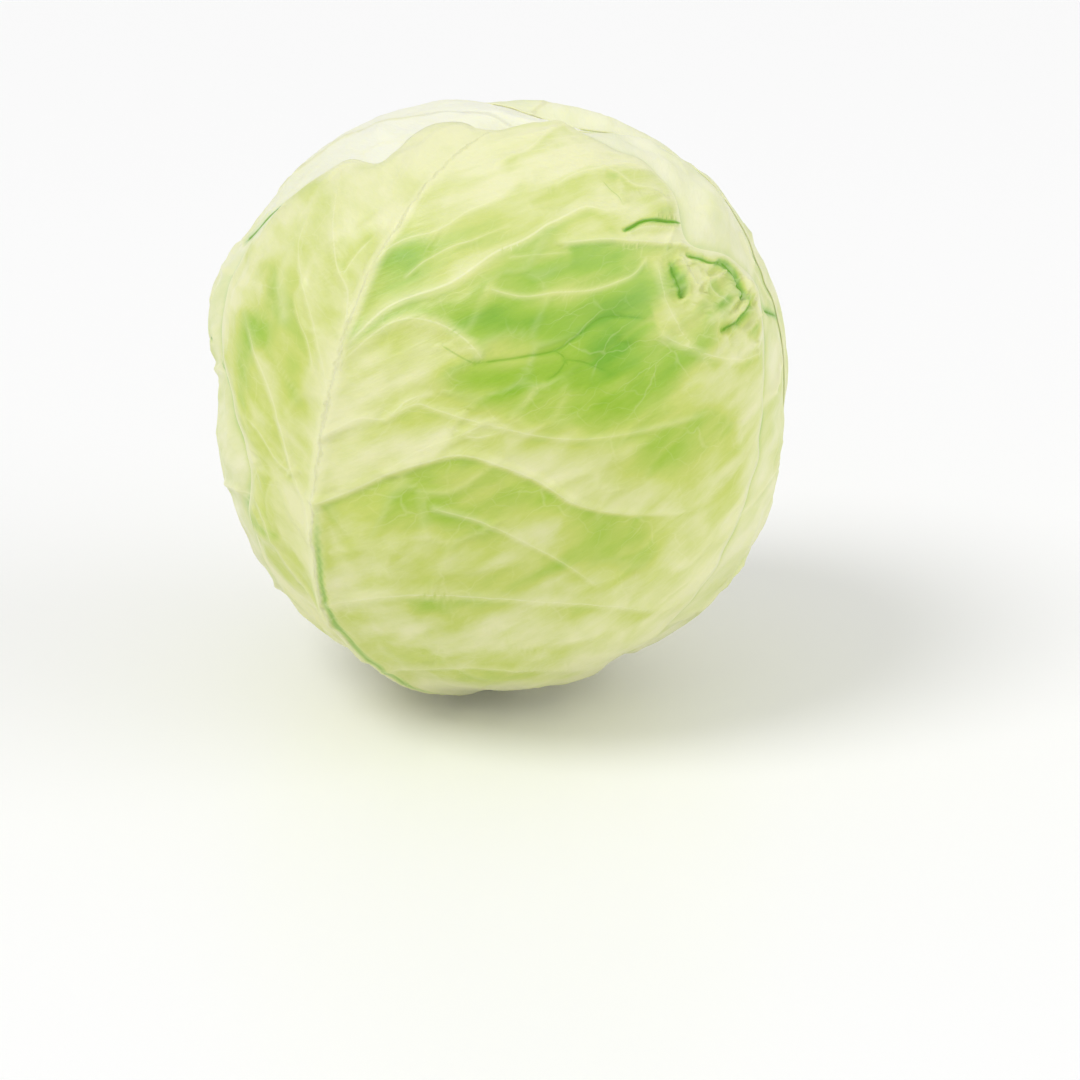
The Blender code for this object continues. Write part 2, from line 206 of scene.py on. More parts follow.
frontLeaf = {
    # outline: turn, degrees added to the reach, spread
    "edge": [(11, 15, 9), (-8, 7, 9), (-21, -6, 4.5), (-40, 4, 9), (-56, 3, 6), (-98, -19, 20),
             (30, 6, 10), (46.5, -7, 5.5), (64, 8, 9), (118, -6, 24)],
    "midrib": [(0, -84), (-19, -62), (-30, -40), (-31, -22), (-30, -4), (-26, 15), (-21, 33),
               (-14, 48), (-7, 61), (5, 76)],
    "strokes": [
        # right of the midrib, from the top down
        stroke([(-14, 57), (-10, 60.8), (-3.4, 63.5), (3.2, 66.1), (12, 69)], 3.2, 0.3, 0.5, core=0.22),
        stroke([(2.6, 60), (9.7, 64.8), (14.4, 71.8), (19.2, 76)], 1.3, 0.4, 0.3, right=0.28, reach=4),
        stroke([(2, 58.5), (6.2, 62.3), (11.4, 64.3), (16.5, 65.5)], 1.1, 0.25, 0.3, right=0.15, reach=3),
        stroke([(16, 55), (20.3, 58.2), (27.9, 61.3), (31.8, 64), (38.1, 65.2)], 1.1, 0.4, 0.45, right=0.12,
               reach=4, fade=0.3),
        stroke([(27, 61), (30.5, 60.2), (34.7, 57.7), (42.9, 58.7)], 1.1, 0.35, 0.4, right=0.22, reach=3.5),
        stroke([(26.5, 57), (28.8, 54.3), (31.1, 51.3)], 0.7, -0.2, 0, dark=0.25, left=0.15, reach=3),
        stroke([(-21, 35), (-14.9, 41.4), (-7.4, 43.8), (-1.9, 47.8), (4.2, 51.4), (9, 57)], 1.4, 0.45, 0.4,
               left=0.06, right=0.2, reach=4, core=0.31),
        stroke([(-13, 34.5), (-9.3, 37.6), (-5, 40.3), (0.4, 42.1), (8, 46)], 0.9, 0.25, 0.25, left=0.1,
               right=0.12, reach=3, core=0.25),
        stroke([(-23.5, 21), (-17.6, 27.3), (-12.8, 30.2), (-4.2, 33.3), (4.1, 39.3), (9.6, 42.1),
                (15.8, 46.3), (21.9, 49.9), (26.8, 49.6), (33.8, 51.6)], 1.9, 0.75, 0.6, right=0.42, reach=5,
               core=0.56),
        stroke([(7, 38.5), (14, 39.5), (19.5, 39.9)], 0.8, 0.2, 0.2, left=0.1),
        stroke([(3.5, 32.4), (6.6, 31.6), (10.3, 31.2), (16.2, 32.1), (22.4, 32.6), (27.9, 34.3),
                (31.9, 36.3), (35.2, 40.3)], 0.9, 0.35, 0.3, left=0.2, right=0.25, reach=4, fade=0.2,
               core=0.22),
        stroke([(-24.5, 18), (-17, 24.5), (-11.5, 26.6), (-5.6, 25.8), (-0.8, 23.2), (3, 19.3)], 1.6, 0.8,
               0.5, left=0.28, reach=4.5, fade=0.1, core=0.31),
        stroke([(-5, 22), (-1, 19.8), (1.5, 18.8)], 0.7, -0.2, 0, dark=0.3, fade=0.2),
        stroke([(1.5, 19), (4.3, 19.4), (10.2, 20.3), (16, 21.5), (19.8, 23.9), (25.5, 27.7), (35.6, 27.3)],
               0.8, -0.25, 0, dark=0.45, fade=0.2),
        stroke([(16, 21.5), (17.8, 19.8), (16.5, 17.4), (14.1, 15.8)], 0.7, -0.15, 0, dark=0.35, fade=0.3),
        stroke([(17.8, 19.8), (21.6, 19.2), (27, 17)], 0.7, -0.15, 0, dark=0.3, fade=0.6),
        stroke([(36.5, 27.5), (33.5, 26.5), (27.8, 22.7), (22, 19)], 1.2, -0.4, 0, left=0.4, right=0.4,
               reach=2.2),
        stroke([(-29, 3), (-24.1, 6.1), (-20.3, 7.9), (-15.1, 8.3), (-10.9, 11.9), (-5.2, 13.7)], 1.3, 0.5,
               0.45, right=0.12, reach=3, core=0.37),
        # a raised crease painted pale, partly as a glint along it
        stroke([(-15, 8.2), (-9.7, 11.2), (-5.3, 10.3), (4, 8), (22, 5), (52, 8)], 1.2, 0.45, 0.4,
               right=0.14, reach=4),
        stroke([(-13.8, -0.6), (-7.9, 3.1), (0.5, 6.8), (6, 9.2)], 1.8, 0.4, 0.4, right=0.08),
        stroke([(-2.3, 7.1), (1.5, 5.6), (7, 6.9)], 0.8, 0.3, 0.35, right=0.15, reach=3),
        stroke([(-30, -10), (-26.9, -8.6), (-20.5, -5.3), (-14.6, -2), (-7.9, 0.6), (0.2, 2.3), (12, -2),
                (24, -9), (50, -14)], 1.7, 1.0, 0.45, right=0.42, reach=8, wideRight=1.2, core=0.31),
        stroke([(-6, -8), (4, -11), (16, -18), (26, -27)], 1.1, 0.4, 0.35, right=0.15),
        stroke([(-31, -34), (-8, -26), (22, -30), (44, -40)], 1.8, 0.8, 0.5, right=0.2),
        stroke([(-22, -56), (0, -48), (26, -56)], 1.8, 0.8, 0.5, right=0.1),
        # left of the midrib
        stroke([(-23.5, 22), (-24.1, 26.1), (-24.8, 31.6), (-28.4, 37.4), (-32, 50.4), (-34.1, 61.7)], 1.5,
               0.65, 0.45, left=0.08, right=0.1, reach=4, core=0.37),
        stroke([(-26.2, 34.4), (-24.6, 37.4), (-22.8, 40.1), (-20, 43)], 0.9, 0.25, 0.3, left=0.15, reach=3,
               core=0.25),
        stroke([(-27, 12), (-31, 22.5), (-39.1, 40.4), (-38.1, 49.1)], 1.1, 0.35, 0.3, left=0.1, core=0.25),
        stroke([(-40, 26), (-42.2, 33.4), (-41.2, 38.4), (-39.6, 46), (-37.7, 53)], 2.6, 0.35, 0.4, fade=0.3,
               core=0),
        stroke([(-31, 16), (-33.4, 21.7), (-35.7, 25.5), (-38, 31)], 0.9, 0.3, 0.3, left=0.12, reach=3,
               core=0.25),
        stroke([(-31, -18), (-33.1, -11.1), (-35.3, -7.5), (-38.1, -1.4), (-41.2, 6.8), (-44.9, 13.8),
                (-47.6, 17.5), (-50.5, 21.9), (-56, 29)], 1.8, 0.8, 0.5, left=0.14, reach=4, core=0.37),
        stroke([(-36, -6), (-41, -4), (-46, 1), (-52, 4)], 1.0, 0.3, 0.35, left=0.1, reach=3),
        stroke([(-30, -40), (-40.8, -28.9), (-47.2, -18), (-52.1, -14)], 1.8, 0.8, 0.5),
        stroke([(-26, -52), (-38, -44), (-48, -40)], 1.6, 0.7, 0.45),
        stroke([(-57, -27), (-48, -24), (-40.7, -22.7)], 2.0, 0.7, 0.3, left=0.35, reach=5, fade=0.2, core=0),
        # folds, the slit and the crumpled place near the right edge
        stroke([(17.5, 41.6), (20.5, 42), (23.6, 42.4), (27.4, 42.8), (37.6, 43.3), (50.9, 44.7),
                (53.5, 43.6)], 2.2, 0.9, 0.45, right=0.5, reach=3.5, wideRight=0.9, fade=0.0, core=0.31),
        stroke([(30.2, 45.2), (32.5, 46.6), (34.5, 47.9), (37.3, 48.7), (47.5, 50.2)], 0.8, -0.5, 0, dark=1.0,
               right=0.6, reach=1.2, fade=0.0),
        stroke([(30.5, 44.2), (34.5, 46.3), (37.3, 47.0), (47.5, 48.5)], 0.9, 0.5, 0.4, fade=0.0),
        stroke([(41, 38.6), (41.5, 36), (43.4, 31.6)], 1.5, -1.0, 0, dark=0.75, left=0.4, right=0.4,
               reach=1.6, fade=0.0),
        stroke([(43.6, 40), (44.9, 37.5), (46.4, 33.9)], 1.0, 0.9, 0.5, fade=0.0, core=0.15),
        stroke([(46.4, 33.9), (50.2, 36), (54, 37.3)], 0.9, 0.7, 0.5, right=0.3, reach=3, core=0.15),
        stroke([(46.5, 41.7), (50, 41), (53.5, 40.4), (57, 41.2)], 1.2, -1.0, 0, dark=0.85, left=0.2,
               right=0.5, reach=2, fade=0.1),
        stroke([(57, 41), (60, 38.8), (61.8, 34.5), (61, 31.5)], 1.8, -1.2, 0, dark=1.0, left=0.4, right=0.6,
               reach=2, fade=0.0),
        stroke([(47.5, 43.4), (53, 43), (58.5, 43.6)], 0.9, 0.8, 0.5, fade=0.2, core=0),
        stroke([(60.5, 42.6), (64.4, 39), (65.6, 34)], 1.2, 0.9, 0.5, fade=0.2, core=0),
        stroke([(54, 24.8), (59.8, 27.2), (65, 31)], 1.4, -1.1, 0, dark=0.8, left=0.2, right=0.5, reach=2.2,
               fade=0.2),
        stroke([(50, 27), (56, 29.4), (62, 33.5)], 1.6, 0.9, 0.5, fade=0.2, core=0),
        stroke([(38, 24), (48, 20), (60, 18), (72, 20)], 1.5, 0.8, 0.4, right=0.3, reach=4),
        stroke([(37, 38), (38.5, 31), (43, 24), (52, 14)], 1.8, 0.7, 0.35, left=0.15, reach=4),
        stroke([(48, 39), (52, 33), (58, 30)], 1.2, 0.6, 0.35, left=0.15, reach=3),
        stroke([(66, 34), (68, 27), (66, 20)], 1.3, 0.8, 0.4, right=0.25, reach=3),
    ],
    # green patches of the blade, and pale ones below 0: x, y, half width, half height, turn, strength
    "patches": [
        (27, 22, 9, 5, 20, 0.65), (19, 37, 16, 3.5, 6, 0.50), (20, 42, 9, 3.5, 12, 0.14),
        (10, 26, 10, 4, 0, 0.60), (23, 29, 12, 3.5, 12, 0.50), (34, 32, 7, 5, 30, 0.45),
        (7, 13, 8, 4, -10, 0.25), (22, 12, 10, 6, 10, 0.40), (12, 17, 12, 3.5, 8, 0.40),
        (0, 18, 8, 3, 0, 0.25), (36, 17, 7, 6, 10, 0.35), (3, 27, 5, 5, 0, 0.3),
        (-6, -9, 12, 6, 5, 0.35), (-5, -24, 12, 8, 0, 0.25), (-47, 24, 7, 7, 0, 0.38),
        (-41, 29, 6, 5, 0, 0.2), (-48, 36, 5, 6, 30, 0.2), (-54, 10, 4, 11, 0, 0.35),
        (-46, -5, 6, 7, 0, 0.2), (-36, 12, 3, 10, 15, 0.2), (54, 32, 7, 4, 0, 0.35),
        # the first two below paint shade into the deep folds of the crumpled place
        (60.5, 37, 2.5, 4, 25, 0.5), (43, 35.5, 2.5, 4, 20, 0.45), (47, 22, 10, 5, 10, 0.30),
        (40, 4, 14, 8, 0, 0.35), (32, -20, 16, 8, 0, 0.35), (-13, 38, 4, 6, -25, 0.22),
        (-4, 41, 12, 3, 22, 0.32), (17, 54, 12, 3, 20, 0.15), (42, 52, 5, 2.5, 10, 0.3),
        (-20, -50, 10, 12, 0, 0.15), (5, -52, 14, 10, 0, 0.2), (-29, -18, 2, 9, 0, 0.2),
        (30, 60, 8, 2, 15, 0.2), (-14, 12, 9, 5, 10, 0.06), (0, 14, 7, 5, 0, 0.16),
        (-10, 32, 8, 3, 20, 0.2), (-22, 44, 4, 6, 0, 0.12), (6, 62, 24, 9, 0, -0.28),
        (26, 57, 9, 5, 20, -0.1), (-21, 52, 9, 9, 0, -0.15), (-36, -16, 5, 9, 0, -0.15),
    ],
    # places where the blade is crumpled into small sharp folds: x, y, half width, half height, strength
    "crumples": [(51, 36, 10, 7, 1.4), (62, 27, 10, 8, 1.3), (-52, 30, 8, 12, 0.6), (20, 63, 14, 5, 0.45),
                 (-4, 4, 12, 6, 0.35), (-50, -8, 6, 14, 0.5), (30, -25, 14, 8, 0.4)],
}

# the narrow part of the third leaf that shows on the left, and of the fourth on the right
thirdLeafStrokes = [
    # a slit behind a raised rim: its bottom and the flank beside it painted as shade
    stroke([(8.5, 30.5), (9.9, 34), (10.5, 38), (10.8, 42)], 1.5, -0.6, 0, dark=1.0, left=0.8, reach=1.2,
           fade=0.0),
    stroke([(7.3, 30), (8.8, 34), (9.4, 38), (9.8, 43)], 1.7, 1.8, 0.1, fade=0.2, core=0),
    stroke([(11.8, 44.5), (12, 48.3), (13.3, 52)], 0.9, -0.8, 0, dark=0.7, fade=0.2),
    stroke([(4.4, 17), (5.7, 12.2), (10, 10.6), (15, 11)], 0.8, -1.0, 0, dark=0.7, fade=0.2),
    stroke([(2, 19), (2.6, 13), (7, 8), (14, 8)], 1.8, 0.9, 0.4, fade=0.2),
    stroke([(20, 9), (25.1, 7.1), (29, 5.6)], 0.8, -0.8, 0, dark=0.55, fade=0.2),
    stroke([(-8.6, 52), (-10, 54.4)], 0.8, -0.8, 0, dark=0.8, fade=0.2),
    stroke([(3, 27), (1, 20), (2, 14)], 4.0, 1.2, 0.2, core=0),
    stroke([(-16, 8), (0, 6.5), (14, 5), (24, 4)], 7.0, -0.9, 0, fade=0.0),
    stroke([(2, -4), (4, -13), (6, -22)], 4.0, 1.4, 0.2, right=0.3, reach=5, core=0),
]
fourthLeafStrokes = [
    stroke([(33, 17.6), (38, 15.7), (44, 13.6)], 1.5, -1.3, 0, dark=0.9, fade=0.6),
    # a raised fold painted pale along its top as a highlight
    stroke([(36.8, 33), (36.4, 26.7), (38.9, 20.5), (45, 16)], 1.4, 0.8, 0.5, right=0.12, fade=0.2),
    stroke([(18.4, 43), (29.2, 38.2), (35, 33)], 2.2, 0.5, 0.4),
]

# the second leaf's outline, which follows the head's right outline in the photograph, and the third one's tip
secondLeafEdge = [(6, 2, 14), (-33, -7, 16), (-50, -3, 12), (-84, 1.5, 9), (-112, -3, 11), (38, 3, 10),
                  (66, -4, 9), (98, 3, 13), (-150, -7, 14), (150, -7, 14)]
thirdLeafTip = (-7, 24, 14)

otherLeaves = {
    "edgeBumps": 9,
    "edgeBumpSize": 4.0,    # degrees
    "edgeBumpSpread": (7.0, 20.0),
    # turn, degrees added to the reach, spread
    "tipRise": (0.0, 7.0, 34.0),
    "lobeDip": (150.0, -7.0, 14.0),
    "veinStarts": (-0.66, -0.38, -0.08, 0.24),  # shares of the reach, up the midrib
    "veinRise": (0.30, 0.45),                   # how steeply the side veins rise
    "veinHigh": 0.8,
    "veinWide": 1.7,
    "veinPale": 0.6,
    "branches": 3,
    "branchSize": (0.16, 0.26),                 # shares of the reach
    "branchHigh": 0.35,
    "branchWide": 1.1,
    "branchPale": 0.35,
    "crumples": 4,          # small crumpled places near the edge of each leaf
    "crumpleSize": (5, 11),
    "crumpleStrength": 0.8,
}

# mm, and half widths
midrib = {
    "swell": 2.6,           # how far the blade rises over the rib at the stem
    "swellWide": 6.5,
    "high": 0.7,            # the rib itself
    "wide": 3.9,
    "tipShare": 0.42,
    "groove": 0.6,          # a shallow groove beside it, low on the leaf
    # painted shade: how green the groove is made
    "grooveShadeGreen": 0.95,
    "pale": 0.9,
    "paleLost": 0.25,       # from stem to tip
    "palePastSide": 0.35,
    "sideGreen": 0.20,      # of the front leaf's blade, on the right of the upper rib
    "core": 0.55,
}

drawnLines = {
    "tip": 0.06,            # share of a line over which its end runs out
    "foldShadeGreen": 0.8,       # how green the painted shade at the bottom of a fold or slit is
    "apart": 0.9,           # mm to the next crisp line within which a line weakens
}

crinkle = {
    "long": 15.0,           # cells of the lesser veins, in degrees along and across the side veins
    "wide": 8.5,
    "crease": 0.42,         # mm
    "creaseWide": 1.1,
    "tilt": 1.0,            # mm that a cell leans from wall to wall
    "pale": 0.22,
    # how green each cell is: its own tone, and painted shade towards one side of it
    "green": 0.10,
    "crumpleLong": 6.5,     # the same where the leaf is crumpled
    "crumpleWide": 4.6,
    "crumpleCrease": 0.6,
    "crumpleTilt": 1.9,
    "crumplePale": 0.3,
    "crumpleToneAndShade": 0.30,
}

# azimuth and latitude, reach and bow of the midrib, outermost first; squares of the mesh each way, and how
# often the ones near thin lines are halved; how green the leaf is, and how cream all over and at its tip
outerLeaves = [
    {"place": (-5, 5), "reach": 72, "bow": None, "mesh": (166, 2), "green": 0.10, "cream": (0.0, 0.15)},
    {"place": (155, 6), "reach": 66, "bow": 6, "mesh": (150, 1), "green": 0.18, "cream": (0.1, 0.6)},
    {"place": (-95, 4), "reach": 71, "bow": -7, "mesh": (150, 1), "green": 0.14, "cream": (0.25, 1.0)},
    {"place": (42, 7), "reach": 74, "bow": 9, "mesh": (140, 1), "green": 0.14, "cream": (0.2, 0.65)},
    {"place": (183, 3), "reach": 77, "bow": -9, "mesh": (110, 1), "green": 0.08, "cream": (0.5, 0.6)},
    {"place": (-50, 5), "reach": 78, "bow": 5, "mesh": (110, 1), "green": 0.06, "cream": (0.6, 0.6)},
    {"place": (95, 5), "reach": 79, "bow": -4, "mesh": (110, 1), "green": 0.05, "cream": (0.7, 0.7)},
]


def drawnEdge(draw):
    count = otherLeaves["edgeBumps"]
    size = otherLeaves["edgeBumpSize"]
    turns = np.linspace(-150, 150, count) + draw.uniform(-12, 12, count)
    sizes = draw.uniform(-size, size, count)
    spreads = draw.uniform(*otherLeaves["edgeBumpSpread"], count)
    turn, dip, spread = otherLeaves["lobeDip"]
    return [otherLeaves["tipRise"], (turn, dip, spread), (-turn, dip, spread), *zip(turns, sizes, spreads)]


def drawnStrokes(draw, reach, bow, number):
    # side veins as in the solids, and finer branches off them
    made = []
    fine = np.random.default_rng(seeds["branches"] + number)
    for side in (-1, 1):
        for start in otherLeaves["veinStarts"]:
            y = reach * (start + draw.uniform(-0.05, 0.05))
            x = bow * (1 - (y / reach) ** 2)
            out = side * (reach * 0.9 - abs(x) * side * np.sign(bow))
            rise = draw.uniform(*otherLeaves["veinRise"])
            wave = fine.uniform(-2.5, 2.5)

            def onVein(s):
                return x + out * s, y + reach * rise * s * (1 - 0.25 * s) + wave * np.sin(5 * s)

            made.append(stroke([onVein(s) for s in (0, 0.2, 0.4, 0.6, 0.8, 1)], otherLeaves["veinWide"],
                               otherLeaves["veinHigh"], otherLeaves["veinPale"], left=0.08, right=0.14))
            for n in range(otherLeaves["branches"]):
                bx, by = onVein(0.22 + 0.24 * n + fine.uniform(-0.06, 0.06))
                up = 1 if n % 2 == 0 else -1
                lean = fine.uniform(0.5, 1.1)
                size = reach * fine.uniform(*otherLeaves["branchSize"])
                branch = [(bx + side * size * far, by + up * size * high * lean)
                          for far, high in ((0, 0), (0.5, 0.22), (0.95, 0.62), (1.15, 1.05))]
                made.append(stroke(branch, otherLeaves["branchWide"], otherLeaves["branchHigh"],
                                   otherLeaves["branchPale"], right=0.08, reach=3, fade=0.8))
    return made


def planLeaf(number, azimuth, latitude, reach, bow):
    # everything about a leaf that its own mesh and the leaves under it need
    draw = np.random.default_rng(seeds["leaf"] + number)
    plan = {"name": f"outerLeaf{number + 1}", "number": number, "reach": reach}
    plan["centre"] = directionOf(azimuth, latitude)
    plan["up"] = directionOf(azimuth, latitude + 90.0)
    plan["right"] = np.cross(plan["up"], plan["centre"])
    plan["base"] = 90.0 + latitude - np.degrees(np.arctan2(head["stemEdge"], head["down"])) - 1.0
    if bow is None:
        plan["bumps"] = frontLeaf["edge"]
        plan["midrib"] = smoothCurve(frontLeaf["midrib"])
        plan["strokes"] = frontLeaf["strokes"]
        plan["patches"], plan["crumples"] = frontLeaf["patches"], frontLeaf["crumples"]
    else:
        plan["bumps"] = drawnEdge(draw)
        if number == 1:
            plan["bumps"] = secondLeafEdge
        if number == 2:
            plan["bumps"] = plan["bumps"] + [thirdLeafTip]
        plan["midrib"] = smoothCurve([(bow * (1 - s * s), s * (reach if s > 0 else plan["base"]))
                                      for s in np.linspace(-1, 1, 7)])
        plan["strokes"] = drawnStrokes(draw, reach, bow, number)
        plan["patches"], plan["crumples"] = [], []
        crumple = np.random.default_rng(seeds["crumples"] + number)
        for i in range(otherLeaves["crumples"]):
            turn, far = crumple.uniform(-2.4, 2.4), reach * crumple.uniform(0.6, 0.9)
            size = crumple.uniform(*otherLeaves["crumpleSize"], 2)
            strength = otherLeaves["crumpleStrength"]
            plan["crumples"].append((far * np.sin(turn), far * np.cos(turn), *size, strength))
    plan["strokes"] = plan["strokes"] + {2: thirdLeafStrokes, 3: fourthLeafStrokes}.get(number, [])
    waves = np.random.default_rng(seeds["waves"] + number)
    plan["waves"] = [(n, waves.uniform(0.15, 0.45), waves.uniform(0, 6.28)) for n in (17, 23, 31, 43)]
    return plan


def leafEdge(plan, turn):
    # how far the leaf reaches at each turn, in degrees
    degrees = np.degrees(turn)
    reach = plan["reach"]
    for at, size, spread in plan["bumps"]:
        reach = reach + size * np.exp(-(((degrees - at) / spread) ** 2))
    for n, size, phase in plan["waves"]:
        reach = reach + size * np.sin(n * turn + phase)
    atBase = smoothStep((np.abs(degrees) - 180.0 + 2 * baseHalfTurn) / baseHalfTurn)
    return reach * (1 - atBase) + plan["base"] * atBase


def leafDirection(plan, x, y):
    far = np.maximum(np.hypot(x, y), 1e-9)
    across = (x / far)[..., None] * plan["right"] + (y / far)[..., None] * plan["up"]
    far = np.radians(far)[..., None]
    return np.cos(far) * plan["centre"] + np.sin(far) * across


def angleAndTurn(plan, d):
    # degrees from the leaf's centre, and the turn round it
    angle = np.degrees(np.arccos(np.clip(d @ plan["centre"], -1.0, 1.0)))
    return angle, np.arctan2(d @ plan["right"], d @ plan["up"])


def outsideEdge(plan, d):
    # degrees from the leaf's edge, plus outside it
    angle, turn = angleAndTurn(plan, d)
    reach = leafEdge(plan, turn)
    lean = (leafEdge(plan, turn + turnStep) - leafEdge(plan, turn - turnStep)) / (2 * turnStep)
    slant = np.hypot(1.0, lean / np.degrees(np.sin(np.radians(reach))))
    return (angle - reach) / slant


def leafCover(plan, d, tuck, ramp):
    return 1.0 - smoothStep((outsideEdge(plan, d) - tuck) / ramp)


def leafPlaces(plan, u, v):
    # the squares of a grid spread over the leaf's outline, with the middle column on the midrib
    x, y = u * np.sqrt(1 - v * v / 2), v * np.sqrt(1 - u * u / 2)
    reach = leafEdge(plan, np.arctan2(x, y))
    ribX = np.interp(y * reach, plan["midrib"][:, 1], plan["midrib"][:, 0])
    return x * reach + ribX * (1 - np.minimum(np.hypot(x, y), 1.0)), y * reach


def veinWay(plan, x, y):
    # distances along and across the run of the side veins, which rise away from the midrib
    rise = np.radians(30.0)
    off = x - np.interp(y, plan["midrib"][:, 1], plan["midrib"][:, 0])
    out = np.abs(off)
    along = out * np.cos(rise) + y * np.sin(rise) + np.where(off < 0, 180.0, 0.0)
    return along, y * np.cos(rise) - out * np.sin(rise)


def nearStroke(s, x, y, reach):
    # the places that lie in the stroke's own box, widened by reach
    low, high = s["line"].min(0) - reach, s["line"].max(0) + reach
    return np.flatnonzero((x > low[0]) & (x < high[0]) & (y > low[1]) & (y < high[1]))


def drawMidrib(plan, x, y):
    off, along = nearCurve(x, y, plan["midrib"])
    mm = off * mmPerDegree
    thin = 1 - along * (1 - midrib["tipShare"])
    swellWide, wide = midrib["swellWide"] * thin, midrib["wide"] * thin
    height = midrib["swell"] * (1 - along) ** 1.3 * np.exp(-((mm / swellWide) ** 2))
    height = height + midrib["high"] * (1 - 0.8 * along) * np.exp(-np.abs(mm / wide) ** 3)
    softSide = midrib["palePastSide"] * np.exp(-((mm / (2.2 * wide)) ** 2)) * smoothStep(0.5 + mm)
    pale = midrib["pale"] - midrib["paleLost"] * along
    pale = pale * np.maximum(np.exp(-np.abs(mm / wide) ** 3.5), softSide)
    low = smoothStep((0.45 - along) / 0.15) * smoothStep(along / 0.1)
    groove = np.exp(-(((mm + wide * 0.45) / (wide * 0.32)) ** 2)) * low
    # painted shade: the groove beside the rib is greener and less pale
    tint = midrib["grooveShadeGreen"] * groove
    pale = pale * (1 - 0.75 * groove)
    if plan["number"] == 0:     # the blade starts at once, and green, on the right of the upper midrib
        above = smoothStep((along - 0.50) / 0.1) * smoothStep((0.90 - along) / 0.1)
        fading = smoothStep(-mm / wide) * np.exp(np.minimum(mm + wide, 0) / 7.0)
        tint = tint + midrib["sideGreen"] * above * fading
    core = midrib["core"] * smoothStep((0.97 - along) / 0.3)
    return {"height": height - midrib["groove"] * groove, "pale": pale, "tint": tint, "coreMm": mm,
            "coreGap": np.abs(mm), "nextGap": np.full(len(x), 9.0), "coreShow": core}


def drawLeaf(plan, x, y):
    # what the ribs, veins, folds and slits give to each place: height in mm, paint from 0 to 1, and how far
    # the nearest crisp line is in mm, with its side and its strength
    drawn = drawMidrib(plan, x, y)
    for s in plan["strokes"]:
        near = nearStroke(s, x, y, max(3.0 * s["wide"] / mmPerDegree, 3.0 * s["reach"]) + 2.0)
        if not len(near):
            continue
        off, along = nearCurve(x[near], y[near], s["line"])
        mm = off * mmPerDegree
        shrink = 1 - s["fade"] * along
        wide = np.where(mm > 0, s["wide"], s["wideRight"]) * (0.5 + 0.5 * shrink)
        ridge = np.exp(-((mm / wide) ** 2))
        tip = smoothStep((1 - along) / drawnLines["tip"])
        drawn["height"][near] += s["high"] * shrink * ridge * tip
        pale = s["pale"] * shrink * np.exp(-((mm / (wide * 1.1)) ** 2)) * tip
        drawn["pale"][near] = np.maximum(drawn["pale"][near], pale)
        ends = smoothStep(along / 0.1) * smoothStep((1 - along) / 0.12)
        side = s["right"] + (s["left"] - s["right"]) * smoothStep(0.5 + 0.3 * mm)
        drawn["tint"][near] += side * ends * np.exp(-np.abs(off) / s["reach"]) * (1 - 0.7 * ridge)
        # painted shade: the bottom of a fold or slit turned deep green
        drawn["tint"][near] += drawnLines["foldShadeGreen"] * s["dark"] ** 2 * ridge * tip
        if s["core"]:
            nearer = np.abs(mm) < drawn["coreGap"][near]
            end = smoothStep((1 - along) / (drawnLines["tip"] + 0.5 * s["fade"]))
            show = s["core"] * smoothStep(0.25 + along / 0.1) * end
            gap = np.where(nearer, drawn["coreGap"][near], np.minimum(drawn["nextGap"][near], np.abs(mm)))
            drawn["nextGap"][near] = gap
            for key, new in (("coreMm", mm), ("coreGap", np.abs(mm)), ("coreShow", show)):
                drawn[key][near] = np.where(nearer, new, drawn[key][near])
    # a line weakens where the next one is just as near
    drawn["coreShow"] *= smoothStep((drawn["nextGap"] - drawn["coreGap"]) / drawnLines["apart"])
    return drawn


def crinkleCells(along, across, long, wide, seed):
    # creases between cells of the given size, how far each cell leans, and how green it is: a tone of its
    # own, and painted shade greener towards one side of the cell
    wall, shade, du, dv = veinCells(along / long, across / wide, seed)
    wallMm = wall * 0.5 * (long + wide) * mmPerDegree
    crease = np.exp(-((wallMm / crinkle["creaseWide"]) ** 2))
    lean = (shade * dv + 0.6 * np.sin(9 * shade) * du) * smoothStep(wall / 0.12)
    return crease, lean, (shade + 0.8 * dv) * (1 - crease)


def drawCrinkles(plan, x, y, seed):
    # the net of lesser veins: raised creases, and cells that lean a little each its own way, each painted
    # greener towards one side as shade
    along, across = veinWay(plan, x, y)
    along = along + 3.5 * softNoise(x, y, 11.0, seed)
    across = across + 2.5 * softNoise(x, y, 8.0, seed + 1)
    crease, lean, green = crinkleCells(along, across, crinkle["long"], crinkle["wide"], seed + 2)
    shown = smoothStep(0.5 + 0.9 * softNoise(x, y, 16.0, seed + 3))
    height = crinkle["crease"] * crease * shown + crinkle["tilt"] * lean
    pale, green = crinkle["pale"] * crease * shown, crinkle["green"] * green
    crumple = np.zeros(len(x))
    for px, py, wide, tall, strength in plan["crumples"]:
        crumple += strength * np.exp(-(((x - px) / wide) ** 2) - ((y - py) / tall) ** 2)
    long, wide = crinkle["crumpleLong"], crinkle["crumpleWide"]
    crease, lean, greens = crinkleCells(along, across, long, wide, seed + 4)
    height = height + crumple * (crinkle["crumpleCrease"] * crease + crinkle["crumpleTilt"] * lean)
    pale = np.maximum(pale, crinkle["crumplePale"] * crumple * crease)
    return height, pale, green + crinkle["crumpleToneAndShade"] * crumple * greens


def paintPatches(plan, x, y, green):
    for px, py, wide, tall, turn, strength in plan["patches"]:
        c, s = np.cos(np.radians(turn)), np.sin(np.radians(turn))
        u, v = (x - px) * c + (y - py) * s, (y - py) * c - (x - px) * s
        green = green + strength * np.exp(-((u / wide) ** 2) - (v / tall) ** 2)
    return green


